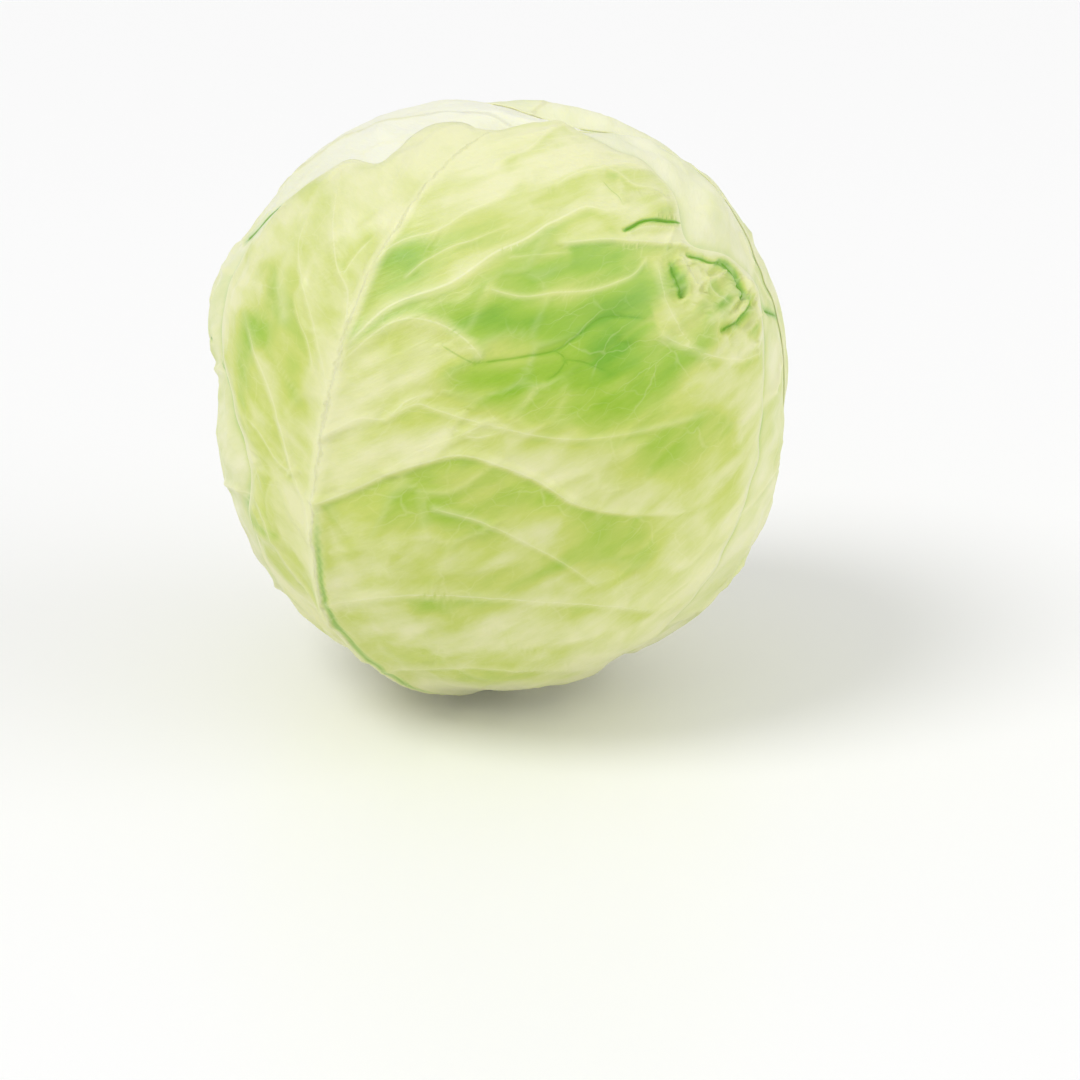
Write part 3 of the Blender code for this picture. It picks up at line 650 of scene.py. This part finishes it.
def settleLeaf(plan, plans, d):
    # how deep the leaf lies, how far inside its edge a place is, and how thick it is there: from the heart
    # outwards, each leaf lies under all leaves above it, with its edge pressed onto what is below
    covers = [leafCover(other, d, layers["tuck"], layers["ramp"]) for other in plans]
    depths = layerStep(d) * np.cumsum([np.zeros(len(d))] + covers, axis=0)
    top = depths[-1] + layers["heartGap"]
    for other in reversed(plans[plan["number"]:]):
        inside = -outsideEdge(other, d)
        blade = layers["edgeBlade"] + (layers["blade"] - layers["edgeBlade"]) * smoothStep(inside / 3.0)
        own = depths[other["number"]]
        room = top - own - blade - layers["clear"]
        press = 1 - smoothStep(inside / layers["pressReach"])
        settled = own + np.minimum(room, 0.0) + np.maximum(room, 0.0) * press
        top = settled + (top - settled) * smoothStep(-inside / layers["fall"])
    return settled, inside, blade


unevenness = {
    # strength, degrees across, and how much narrower it is across the side veins, 0 where it is round
    "puffs": [(0.50, 9.0, 0), (0.26, 4.5, 0), (0.22, 12.0, 3.0)],
    "greens": [(0.08, 14.0, 0), (0.12, 20.0, 3.0), (0.09, 8.0, 3.5)],
    "edgeLift": (0.15, 7.0, 2.5),   # mm that an edge stands up here and there, degrees across and inside it
    "paintedShadeGreen": (0.36, 1.7),      # painted shade: how green beside the edge of a leaf above, and as far as these degrees
    "basePale": (0.25, 0.55),       # towards the stem, from this share of the reach
    "rimReach": 0.8,                # degrees
    "fleshReach": 34.0,
}


def unevenBlade(values, patterns, x, y, along, across, seed):
    for n, (strength, size, narrow) in enumerate(patterns):
        u, v = (along, narrow * across) if narrow else (x, y)
        values = values + strength * softNoise(u, v, size, seed + n)
    return values


def leafSurface(plan, looks, plans, x, y):
    # the outer face of the leaf, its thickness, and its paint masks
    d = leafDirection(plan, x, y)
    depth, inside, blade = settleLeaf(plan, plans, d)
    bare, creviceShade = np.ones(len(d)), np.zeros(len(d))
    paintedShadeGreen, paintedShadeReach = unevenness["paintedShadeGreen"]
    # painted shade: greener in the crevice beside the edge of each leaf above
    for other in plans[:plan["number"]]:
        outside = outsideEdge(other, d)
        bare *= smoothStep((outside - 1.5) / 4.5)
        creviceShade = np.maximum(creviceShade, np.exp(-((outside / paintedShadeReach) ** 2)))
    seed = 20 * plan["number"]
    drawn = drawLeaf(plan, x, y)
    crinkleHeight, crinklePale, crinkleToneAndShade = drawCrinkles(plan, x, y, seed + 10)
    along, across = veinWay(plan, x, y)
    puff = unevenBlade(0.0, unevenness["puffs"], x, y, along, across, seed + 1)
    height = np.maximum(drawn["height"] + puff + crinkleHeight, -layers["deepest"])
    height = height * smoothStep(inside / 4.0) * bare
    lifted, size, reach = unevenness["edgeLift"]
    lift = np.maximum(0, softNoise(x, y, size, seed + 4) - 0.15) * np.exp(-((inside / reach) ** 2))
    height = height + lifted * lift * bare
    radius = headRadius(d) - depth + layers["blade"] + height / 1000.0
    places = d * radius[:, None]
    places[:, 2] += head["middleZ"]
    green = unevenBlade(looks["green"], unevenness["greens"], x, y, along, across, seed + 5)
    # the green mask: the leaf's own green, with painted shade from folds, ridges, crinkle cells and crevices
    green = paintPatches(plan, x, y, green) + drawn["tint"] + crinkleToneAndShade + paintedShadeGreen * creviceShade
    pale, share = unevenness["basePale"]
    green = green - pale * smoothStep((-y / plan["reach"] - share) / 0.5)
    cream, tipCream = looks["cream"]
    fleshReach = unevenness["fleshReach"]
    masks = {
        "green": np.clip(green, 0, 1),
        "vein": np.clip(np.maximum(drawn["pale"], crinklePale), 0, 1),
        "coreMm": np.clip(drawn["coreMm"], -6, 6),
        "coreGap": np.clip(drawn["coreGap"], 0, 6),
        "coreShow": drawn["coreShow"],
        "rim": np.exp(-np.maximum(inside, 0) / unevenness["rimReach"]),
        "flesh": smoothStep((fleshReach - np.hypot(x, y + plan["base"])) / fleshReach),
        "cream": cream + (tipCream - cream) * smoothStep(y / plan["reach"] / 0.9),
    }
    return places, blade, masks


def meshObject(bm, name):
    mesh = bpy.data.meshes.new(name)
    bm.to_mesh(mesh)
    bm.free()
    mesh.shade_smooth()
    made = bpy.data.objects.new(name, mesh)
    bpy.context.scene.collection.objects.link(made)
    return made


def placePoints(made, places, masks, planes):
    # moves the mesh's points, and gives them their paint masks and their places on flat leaves
    made.data.vertices.foreach_set("co", places.ravel())
    for name, values in masks.items():
        layer = made.data.attributes.new(name, "FLOAT", "POINT")
        layer.data.foreach_set("value", values.astype(np.float32))
    corner = np.zeros(len(made.data.loops), int)
    made.data.loops.foreach_get("vertex_index", corner)
    for name, plane in planes.items():
        made.data.uv_layers.new(name=name).data.foreach_set("uv", plane[corner].ravel())
    made.data.update()


def leafGrid(plan, squares, halvings):
    # a grid over the leaf, with the squares near thin lines cut finer
    bm = bmesh.new()
    bmesh.ops.create_grid(bm, x_segments=squares, y_segments=squares, size=1.0)
    spacing = 2 * plan["reach"] * mmPerDegree / squares
    for level in range(halvings):
        flat = np.array([v.co for v in bm.verts], float)
        x, y = leafPlaces(plan, flat[:, 0], flat[:, 1])
        fine = np.zeros(len(x), bool)
        for s in plan["strokes"]:
            narrow = min(s["wide"], s["wideRight"])
            if narrow < spacing or s["dark"] > 0.5:
                reach = (2.0 * narrow + spacing) / mmPerDegree
                near = nearStroke(s, x, y, reach)
                fine[near[np.abs(nearCurve(x[near], y[near], s["line"])[0]) < reach]] = True
        edges = [e for e in bm.edges if fine[e.verts[0].index] and fine[e.verts[1].index]]
        bmesh.ops.subdivide_edges(bm, edges=edges, cuts=1, use_grid_fill=True)
        bm.verts.index_update()
        spacing /= 2
    return bm


def makeLeaf(plan, looks, plans, finish):
    bm = leafGrid(plan, *looks["mesh"])
    flat = np.array([v.co for v in bm.verts], float)
    made = meshObject(bm, plan["name"])
    x, y = leafPlaces(plan, flat[:, 0], flat[:, 1])
    places, blade, masks = leafSurface(plan, looks, plans, x, y)
    metres = mmPerDegree / 1000.0
    placePoints(made, places, masks, {"leafPlane": np.stack([x, y], axis=1) * metres,
                                      "veinPlane": np.stack(veinWay(plan, x, y), axis=1) * metres})
    thick = made.vertex_groups.new(name="blade")
    for i, share in enumerate(blade / layers["blade"]):
        thick.add([i], share, "REPLACE")
    skin = made.modifiers.new("blade", "SOLIDIFY")
    skin.thickness = layers["blade"]
    skin.offset = -1.0
    skin.vertex_group = "blade"
    made.data.materials.append(finish)
    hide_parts(f"outer_leaf_{plan['number'] + 1}")
    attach(made, "root")
    return made


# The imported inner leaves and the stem

heart = {
    "leaves": 5,
    "turn": 137.5,          # the spiral step of a cabbage
    "latitude": 5.0,
    "reach": 78.0,
    "bow": 0.01,
    "step": 0.9,            # mm from one inner leaf to the next
    "edge": 1.3,            # degrees over which an inner leaf's edge falls to the next
    "lineShare": 0.3,       # how much of an outer leaf's ribs and veins show on them
    "puffs": (0.25, 6.0),   # mm high, degrees across
    "green": (0.05, 0.08, 10.0),    # all over, how much it varies, degrees across
    "cream": 0.7,
    "round": 180,
    "rows": 110,
}

stem = {
    "round": 96,
    "gap": 0.0004,          # between the stem and its socket in the heart
    "foot": 0.0060,         # height of the part outside the socket
    # from the top of the core down to the foot: radius, height
    "profile": [(0.0044, 0.0850), (0.0094, 0.0790), (0.0125, 0.0630), (0.0140, 0.0250), (0.0140, 0.0130),
                (0.0150, 0.0090), (0.0165, 0.0060), (0.0165, 0.0012), (0.0162, 0.0004), (0.0153, 0.0)],
    "profileSteps": 4,
    "lobes": 0.0007,        # where leaf bases joined it
    "faceRows": 14,
    "dish": 0.0006,         # how far the pith has drawn back inside the cut face
    "rough": 0.00012,       # of the cut face
    "roughSize": 2.2,       # mm
}


def roundRows(name, places, shape):
    # a closed skin from rows of points round Z, with a single point at each end
    rows, count = shape
    bm = bmesh.new()
    verts = [bm.verts.new(p) for p in places]
    for row in range(rows - 1):
        for i in range(count):
            j = (i + 1) % count
            a, b = 1 + row * count, 1 + (row + 1) * count
            bm.faces.new((verts[a + i], verts[b + i], verts[b + j], verts[a + j]))
    last = 1 + (rows - 1) * count
    for i in range(count):
        j = (i + 1) % count
        bm.faces.new((verts[0], verts[1 + i], verts[1 + j]))
        bm.faces.new((verts[-1], verts[last + j], verts[last + i]))
    bmesh.ops.recalc_face_normals(bm, faces=bm.faces[:])
    return meshObject(bm, name)


def heartSurface(plans, inner, d):
    # the heart's outside under the outer leaves, with the inner leaves' edges and veins in relief
    covers = [leafCover(other, d, layers["tuck"], layers["ramp"]) for other in plans]
    depth = layers["heartGap"] + layerStep(d) * sum(covers)
    height, pale, green = (np.zeros(len(d)) for _ in range(3))
    puff, puffSize = heart["puffs"]
    greenAll, greenMore, greenSize = heart["green"]
    for order, plan in enumerate(reversed(inner)):
        inside = -outsideEdge(plan, d)
        on = smoothStep(inside / heart["edge"] + 0.5)
        angle, turn = angleAndTurn(plan, d)
        x, y = angle * np.sin(turn), angle * np.cos(turn)
        drawn = drawLeaf(plan, x, y)
        own = heart["step"] * (order + 1 - len(inner)) + heart["lineShare"] * drawn["height"]
        own = own + puff * softNoise(x, y, puffSize, seeds["heartPuffs"] + order)
        ownGreen = greenAll + greenMore * softNoise(x, y, greenSize, seeds["heartGreen"] + order)
        height = height * (1 - on) + own * on
        pale = pale * (1 - on) + drawn["pale"] * on
        green = green * (1 - on) + ownGreen * on
    radius = headRadius(d) - depth + height / 1000.0
    return radius, {"vein": np.clip(pale, 0, 1), "green": np.clip(green, 0, 1)}


def makeHeart(plans, finish):
    inner = []
    for i in range(heart["leaves"]):
        number = len(plans) + i
        turn = heart["turn"] * number
        inner.append(planLeaf(number, turn, heart["latitude"], heart["reach"], heart["bow"]))
    socket = [(r + stem["gap"], z) for r, z in stem["profile"] if z >= stem["foot"]]
    mouth = np.degrees(np.arctan2(socket[-1][0], head["middleZ"] - socket[-1][1]))
    polar = np.radians(np.linspace(180.0 / heart["rows"], 180.0 - mouth, heart["rows"]))
    turns = np.linspace(0, 2 * np.pi, heart["round"], endpoint=False)
    theta, phi = (a.ravel() for a in np.meshgrid(polar, turns, indexing="ij"))
    d = np.stack([np.sin(theta) * np.sin(phi), -np.sin(theta) * np.cos(phi), np.cos(theta)], axis=1)
    top = np.array([[0.0, 0.0, 1.0]])
    radius, masks = heartSurface(plans, inner, np.vstack([top, d]))
    places = np.vstack([top, d]) * radius[:, None]
    places[:, 2] += head["middleZ"]
    lowest = places[-heart["round"]:, 2].max()
    rows = heart["rows"]
    for r, z in reversed(socket):
        if z > lowest or (r, z) == socket[-1]:
            z = max(z, lowest + 0.001)
            ring = np.stack([r * np.sin(turns), -r * np.cos(turns), np.full(len(turns), z)], axis=1)
            places = np.vstack([places, ring])
            rows += 1
    places = np.vstack([places, [[0.0, 0.0, socket[0][1] + stem["gap"]]]])
    made = roundRows("heartLeaves", places, (rows, heart["round"]))
    extra = len(places) - len(radius)
    masks = {name: np.concatenate([values, np.zeros(extra)]) for name, values in masks.items()}
    for name, value in (("rim", 0.0), ("flesh", 0.0), ("cream", heart["cream"]), ("coreMm", 6.0),
                        ("coreGap", 6.0), ("coreShow", 0.0)):
        masks[name] = np.full(len(places), value)
    plane = np.stack([np.arctan2(places[:, 0], -places[:, 1]) * head["radius"], places[:, 2]], axis=1)
    placePoints(made, places, masks, {"leafPlane": plane, "veinPlane": plane})
    made.data.materials.append(finish)
    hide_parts("heart_leaves")
    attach(made, "root")
    return made


def makeStem(finish):
    turns = np.linspace(0, 2 * np.pi, stem["round"], endpoint=False)
    side = smoothCurve(stem["profile"], stem["profileSteps"])
    face = [(side[-1][0] * s, 0.0) for s in np.linspace(1, 0, stem["faceRows"] + 1)[1:-1]]
    rows = np.vstack([side, face])
    radius, phi = (a.ravel() for a in np.meshgrid(rows[:, 0], turns, indexing="ij"))
    z = np.repeat(rows[:, 1], len(turns))
    onFace = np.repeat(np.arange(len(rows)) >= len(side), len(turns))
    lobes = np.sin(5 * phi + 1.0) + 0.6 * np.sin(8 * phi + 2.2)
    low = smoothStep((0.030 - z) / 0.010) * smoothStep(radius / 0.012)
    radius = radius - stem["lobes"] * low * (0.8 + 0.5 * lobes)
    share = radius / stem["profile"][-1][0]
    x, y = radius * np.sin(phi), -radius * np.cos(phi)
    rough = softNoise(x * 1000, y * 1000, stem["roughSize"], seeds["stem"])
    dish = stem["dish"] * (1 - smoothStep((share - 0.45) / 0.35)) * (1.0 + 0.2 * rough)
    z = z + np.where(onFace, dish, 0)
    z = z + np.where(onFace, stem["rough"] * (1 + rough) * smoothStep((0.95 - share) / 0.2), 0)
    places = np.vstack([[[0, 0, rows[0][1]]], np.stack([x, y, z], axis=1), [[0, 0, stem["dish"]]]])
    made = roundRows("stemPiece", places, (len(rows), stem["round"]))
    zero = np.zeros(1)
    masks = {
        "share": np.concatenate([zero, share, zero]),
        "cutFace": np.concatenate([zero, onFace.astype(float), zero + 1]),
    }
    placePoints(made, places, masks, {})
    made.data.materials.append(finish)
    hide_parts("stem")
    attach(made, "root")
    return made


# Finishes

def colourOf(code):
    # an sRGB hex value as linear RGBA
    parts = [int(code[i:i + 2], 16) / 255.0 for i in (1, 3, 5)]
    return (*[c / 12.92 if c <= 0.04045 else ((c + 0.055) / 1.055) ** 2.4 for c in parts], 1.0)


def addNode(tree, kind, inputs=None, result=0, **settings):
    # adds a node with its settings, values and links, and gives the output that is used
    node = tree.nodes.new(kind)
    for key, value in settings.items():
        setattr(node, key, value)
    for key, value in (inputs or {}).items():
        if isinstance(value, bpy.types.NodeSocket):
            tree.links.new(value, node.inputs[key])
        else:
            node.inputs[key].default_value = value
    return node.outputs[result]


def cellsFor(size):
    # how often a pattern of this size in mm repeats in a metre, along and across
    return (1000 / size[0], 1000 / size[1], 1.0)


def newFinish(name):
    finish = bpy.data.materials.new(name)
    finish.use_nodes = True
    return finish, finish.node_tree, finish.node_tree.nodes["Principled BSDF"]


def setMoistFlesh(shader, looks):
    # light goes a little way into live leaf and pith
    shader.inputs["IOR"].default_value = looks["ior"]
    shader.inputs["Subsurface Weight"].default_value = looks["subsurface"]
    shader.inputs["Subsurface Radius"].default_value = looks["subsurfaceRadius"]
    shader.inputs["Subsurface Scale"].default_value = looks["subsurfaceScale"]


leafFinish = {
    "pale": "#E7E7B2",
    "fresh": "#C8D36C",
    "green": "#9AC02E",
    "deepGreen": "#74AE06",
    "vein": "#EAEAB8",
    "core": "#EFEFC4",
    # painted shade: the colour of the crisp lines at the bottom of folds and slits
    "dark": "#6AA406",
    "cream": "#F1F1DA",
    "rim": "#ECEDBE",
    "flesh": "#EBECC6",
    "roughness": 0.38,
    "ior": 1.37,
    "subsurface": 0.25,
    "subsurfaceRadius": (1.0, 0.9, 0.35),
    "subsurfaceScale": 0.002,
    "stops": {"fresh": 0.34, "green": 0.70},    # places of these colours between pale and deep green
    "blotchShow": 0.26,
    "streakShow": 0.23,
    "glossSpread": (-0.05, 0.08),               # of the roughness, from blotch to blotch
    "reliefDeep": 0.0002,
    "reliefShow": 0.6,
    "coreWide": 0.40,       # mm from the middle of a crisp line to its edge
    "coreReach": 1.3,       # mm from it where a place no longer belongs to the line
    # sizes of the patterns in mm, the ones in pairs along and across the side veins
    "wander": 9.0,          # how far apart the lesser veins turn, and how far they stray
    "stray": 6.0,
    "blotch": 16.5,
    "streak": (14.0, 3.9),
    "satin": (4.5, 1.1),    # fine crinkles of the wax; real ones are under 0.1 mm, too fine to show
    # lesser vein nets: cell size, share of a cell that its line takes, how much they show, and size of the
    # places where they show; real ones go on to under 1 mm, too fine to show
    "nets": [((21.0, 8.5), 0.034, 0.17, 22.0), ((8.5, 4.5), 0.050, 0.10, 12.0)],
}


def waxedLeaf():
    # live cabbage leaf, cream to green under a thin natural wax: soft gloss, and light glows through it
    finish, tree, shader = newFinish("waxedCabbageLeaf")
    mask = {name: addNode(tree, "ShaderNodeAttribute", result="Fac", attribute_name=name)
            for name in ("green", "vein", "coreMm", "coreGap", "coreShow", "rim", "flesh", "cream")}
    place = addNode(tree, "ShaderNodeUVMap", uv_map="leafPlane")
    run = addNode(tree, "ShaderNodeUVMap", uv_map="veinPlane")
    wander = addNode(tree, "ShaderNodeTexNoise", {"Vector": place, "Scale": 1000 / leafFinish["wander"],
                                                  "Detail": 2.0}, result=1, noise_dimensions="2D")
    stray = leafFinish["stray"] / 1000
    warped = addNode(tree, "ShaderNodeVectorMath", {0: wander, 1: (stray, stray, 0.0), 2: run},
                     operation="MULTIPLY_ADD")

    # the blade: pale where it is thick or shaded, deep green in the sun, in blotches and streaks; the green
    # mask also holds painted shade, deep green, from folds, ridges, crinkle cells and crevices
    blotch = addNode(tree, "ShaderNodeTexNoise", {"Vector": place, "Scale": 1000 / leafFinish["blotch"],
                                                  "Detail": 3.0}, noise_dimensions="2D")
    streak = addNode(tree, "ShaderNodeMapping", {"Vector": run, "Scale": cellsFor(leafFinish["streak"])})
    streak = addNode(tree, "ShaderNodeTexNoise", {"Vector": streak, "Scale": 1.0, "Detail": 5.0,
                                                  "Roughness": 0.62}, noise_dimensions="2D")
    green = mask["green"]
    for pattern, strength in ((blotch, leafFinish["blotchShow"]), (streak, leafFinish["streakShow"])):
        part = addNode(tree, "ShaderNodeMath", {0: pattern, 1: 0.5}, operation="SUBTRACT")
        green = addNode(tree, "ShaderNodeMath", {0: part, 1: strength, 2: green}, operation="MULTIPLY_ADD")
    colour = addNode(tree, "ShaderNodeValToRGB", {"Fac": green})
    blade = colour.node.color_ramp
    blade.elements[0].color = colourOf(leafFinish["pale"])
    blade.elements[1].color = colourOf(leafFinish["deepGreen"])
    for name, at in leafFinish["stops"].items():
        blade.elements.new(at).color = colourOf(leafFinish[name])
    paint = [(mask["cream"], "cream"), (mask["flesh"], "flesh")]

    # the nets of lesser veins, which come and go
    for number, (size, line, show, area) in enumerate(leafFinish["nets"]):
        cells = addNode(tree, "ShaderNodeMapping", {"Vector": warped, "Location": (0.37 * number, 0.11, 0.0),
                                                    "Scale": cellsFor(size)})
        wall = addNode(tree, "ShaderNodeTexVoronoi", {"Vector": cells, "Scale": 1.0},
                       feature="DISTANCE_TO_EDGE", voronoi_dimensions="2D")
        wall = addNode(tree, "ShaderNodeMapRange", {0: wall, 1: 0.0, 2: line, 3: 1.0, 4: 0.0})
        shown = addNode(tree, "ShaderNodeTexNoise", {"Vector": place, "Scale": 1000 / area, "Detail": 0.0},
                        noise_dimensions="2D")
        shown = addNode(tree, "ShaderNodeMapRange", {0: shown, 1: 0.38, 2: 0.62, 3: 0.0, 4: show})
        net = addNode(tree, "ShaderNodeMath", {0: wall, 1: shown}, operation="MULTIPLY")
        paint.append((net, "vein"))
    paint += [(mask["vein"], "vein"), (mask["rim"], "rim")]

    # crisp lines by the signed distance to the nearest one, and not where that only changes from line to line
    side = addNode(tree, "ShaderNodeMath", {0: mask["coreMm"]}, operation="ABSOLUTE")
    broad = addNode(tree, "ShaderNodeMath", {0: mask["coreShow"]}, operation="ABSOLUTE")
    broad = addNode(tree, "ShaderNodeMapRange", {0: broad, 3: 0.6 * leafFinish["coreWide"],
                                                 4: 2.3 * leafFinish["coreWide"]})
    core = addNode(tree, "ShaderNodeMapRange", {0: side, 1: 0.0, 2: broad, 3: 1.0, 4: 0.0},
                   interpolation_type="SMOOTHSTEP")
    true = addNode(tree, "ShaderNodeMapRange", {0: mask["coreGap"], 1: 0.7 * leafFinish["coreReach"],
                                                2: leafFinish["coreReach"], 3: 1.0, 4: 0.0})
    core = addNode(tree, "ShaderNodeMath", {0: core, 1: true}, operation="MULTIPLY")
    core = addNode(tree, "ShaderNodeMath", {0: core, 1: mask["coreShow"]}, operation="MULTIPLY")
    # crisp lines below 0 paint shade at the bottom of folds and slits
    foldShadeCore = addNode(tree, "ShaderNodeMath", {0: core, 1: -1.0}, operation="MULTIPLY", use_clamp=True)
    paint += [(core, "core"), (foldShadeCore, "dark")]
    for amount, name in paint:
        colour = addNode(tree, "ShaderNodeMix", {0: amount, 6: colour, 7: colourOf(leafFinish[name])},
                         result=2, data_type="RGBA")

    # relief of what is painted, over the fine crinkles that make the sheen satin
    satin = addNode(tree, "ShaderNodeMapping", {"Vector": run, "Scale": cellsFor(leafFinish["satin"])})
    relief = addNode(tree, "ShaderNodeTexNoise", {"Vector": satin, "Scale": 1.0, "Detail": 2.0},
                     noise_dimensions="2D")
    relief = addNode(tree, "ShaderNodeMath", {0: core, 1: 0.8, 2: relief}, operation="MULTIPLY_ADD")
    bump = addNode(tree, "ShaderNodeBump", {"Height": relief, "Strength": leafFinish["reliefShow"],
                                            "Distance": leafFinish["reliefDeep"]})
    smoother, rougher = (leafFinish["roughness"] + more for more in leafFinish["glossSpread"])
    gloss = addNode(tree, "ShaderNodeMapRange", {0: blotch, 1: 0.3, 2: 0.7, 3: smoother, 4: rougher})
    tree.links.new(colour, shader.inputs["Base Color"])
    tree.links.new(gloss, shader.inputs["Roughness"])
    tree.links.new(bump, shader.inputs["Normal"])
    setMoistFlesh(shader, leafFinish)
    return finish


stemFinish = {
    "pith": "#F1EDD3",
    "ring": "#D9D7A2",      # the darker ring of vessels under the rind
    "rind": "#D3DAA0",
    "dried": "#C9B98A",     # where the cut has dried at the rim
    "roughness": 0.6,
    "ior": 1.4,
    "subsurface": 0.3,
    "subsurfaceRadius": (1.0, 0.8, 0.5),
    "subsurfaceScale": 0.003,
    "reliefDeep": 0.0004,
    "reliefShow": 0.4,
    "fibre": 0.6,           # mm between fibres; real ones are about 0.1 mm, too fine to show
    "cloud": 5.5,           # mm
    "cloudShow": 0.14,
    # shares of the cut face's radius where these colours lie
    "bands": [(0.70, "pith"), (0.80, "ring"), (0.90, "pith"), (0.97, "rind")],
}


def cutPith():
    # knife-cut stem: pale moist pith inside a fibrous ring, matt, browned a little where it has dried
    finish, tree, shader = newFinish("knifeCutPith")
    share = addNode(tree, "ShaderNodeAttribute", result="Fac", attribute_name="share")
    cutFace = addNode(tree, "ShaderNodeAttribute", result="Fac", attribute_name="cutFace")
    place = addNode(tree, "ShaderNodeTexCoord", result="Object")
    fibre = addNode(tree, "ShaderNodeTexNoise", {"Vector": place, "Scale": 1000 / stemFinish["fibre"],
                                                 "Detail": 3.0})
    cloud = addNode(tree, "ShaderNodeTexNoise", {"Vector": place, "Scale": 1000 / stemFinish["cloud"],
                                                 "Detail": 4.0})
    wavy = addNode(tree, "ShaderNodeMath", {0: cloud, 1: stemFinish["cloudShow"], 2: share},
                   operation="MULTIPLY_ADD")
    bands = addNode(tree, "ShaderNodeValToRGB", {"Fac": wavy})
    ramp = bands.node.color_ramp
    ramp.elements[0].color = colourOf(stemFinish["pith"])
    ramp.elements[1].color = colourOf(stemFinish["dried"])
    for at, name in stemFinish["bands"]:
        ramp.elements.new(at).color = colourOf(stemFinish[name])
    rind = addNode(tree, "ShaderNodeMix", {0: cloud, 6: colourOf(stemFinish["rind"]),
                                           7: colourOf(stemFinish["pith"])}, result=2, data_type="RGBA")
    colour = addNode(tree, "ShaderNodeMix", {0: cutFace, 6: rind, 7: bands}, result=2, data_type="RGBA")
    bump = addNode(tree, "ShaderNodeBump", {"Height": fibre, "Strength": stemFinish["reliefShow"],
                                            "Distance": stemFinish["reliefDeep"]})
    tree.links.new(colour, shader.inputs["Base Color"])
    tree.links.new(bump, shader.inputs["Normal"])
    shader.inputs["Roughness"].default_value = stemFinish["roughness"]
    setMoistFlesh(shader, stemFinish)
    return finish


# Studio

studio = {
    "frame": 1080.0,            # the photograph's side in pixels
    "headMiddle": (497.0, 397.0),
    "halfWidth": 288.0,         # half the head's width there
    "lens": 135.0,
    "sensor": 36.0,
    "tilt": 20.0,
    "floor": "#F7F7F7",
    "floorSize": 6.0,
    "floorRoughness": 0.35,
    "world": 0.68,
    # diffused lamps: power, direction they shine from, degrees across
    "lights": {
        "keyFromTopLeft": (1.25, (-0.65, -0.35, 1.0), 28.0),
        "fillFromRight": (0.80, (1.0, -0.25, 0.45), 50.0),
    },
}


def placeCamera():
    focal = studio["lens"] / studio["sensor"] * studio["frame"]
    tilt = np.radians(studio["tilt"])
    ahead = np.array([0.0, np.cos(tilt), -np.sin(tilt)])
    up = np.array([0.0, np.sin(tilt), np.cos(tilt)])
    right = (studio["headMiddle"][0] - studio["frame"] / 2) / focal
    rise = (studio["frame"] / 2 - studio["headMiddle"][1]) / focal
    ray = ahead + right * np.array([1.0, 0.0, 0.0]) + rise * up
    ray /= np.linalg.norm(ray)
    distance = np.hypot(focal * head["radius"] / studio["halfWidth"], head["radius"])
    camera = bpy.data.objects.new("camera", bpy.data.cameras.new("camera"))
    camera.data.lens = studio["lens"]
    camera.data.sensor_width = studio["sensor"]
    camera.location = np.array([0.0, 0.0, head["middleZ"]]) - ray * distance
    camera.rotation_euler = (np.pi / 2 - tilt, 0.0, 0.0)
    bpy.context.scene.collection.objects.link(camera)
    bpy.context.scene.camera = camera


def buildStudio():
    bm = bmesh.new()
    bmesh.ops.create_grid(bm, x_segments=1, y_segments=1, size=studio["floorSize"])
    floor = meshObject(bm, "floor")
    finish, tree, shader = newFinish("paleFloor")
    shader.inputs["Base Color"].default_value = colourOf(studio["floor"])
    shader.inputs["Roughness"].default_value = studio["floorRoughness"]
    floor.data.materials.append(finish)
    world = bpy.data.worlds.new("studio")
    world.use_nodes = True
    background = world.node_tree.nodes["Background"]
    background.inputs[0].default_value = (1.0, 1.0, 1.0, 1.0)
    background.inputs[1].default_value = studio["world"]
    bpy.context.scene.world = world
    for name, (power, place, width) in studio["lights"].items():
        lamp = bpy.data.lights.new(name, "SUN")
        lamp.energy = power
        lamp.angle = np.radians(width)
        light = bpy.data.objects.new(name, lamp)
        light.rotation_euler = Vector(place).to_track_quat("Z", "Y").to_euler()
        bpy.context.scene.collection.objects.link(light)
    bpy.context.scene.view_settings.view_transform = "Standard"


placeCamera()
buildStudio()
print("scene: studio and camera")

leafPlans = [planLeaf(n, *leaf["place"], leaf["reach"], leaf["bow"]) for n, leaf in enumerate(outerLeaves)]
waxed = waxedLeaf()
for number, leaf in enumerate(outerLeaves):
    made = makeLeaf(leafPlans[number], leaf, leafPlans, waxed)
    print("scene: outer leaf", number + 1, "with", len(made.data.polygons), "faces")

makeHeart(leafPlans, waxed)
makeStem(cutPith())
print("scene: heart and stem")
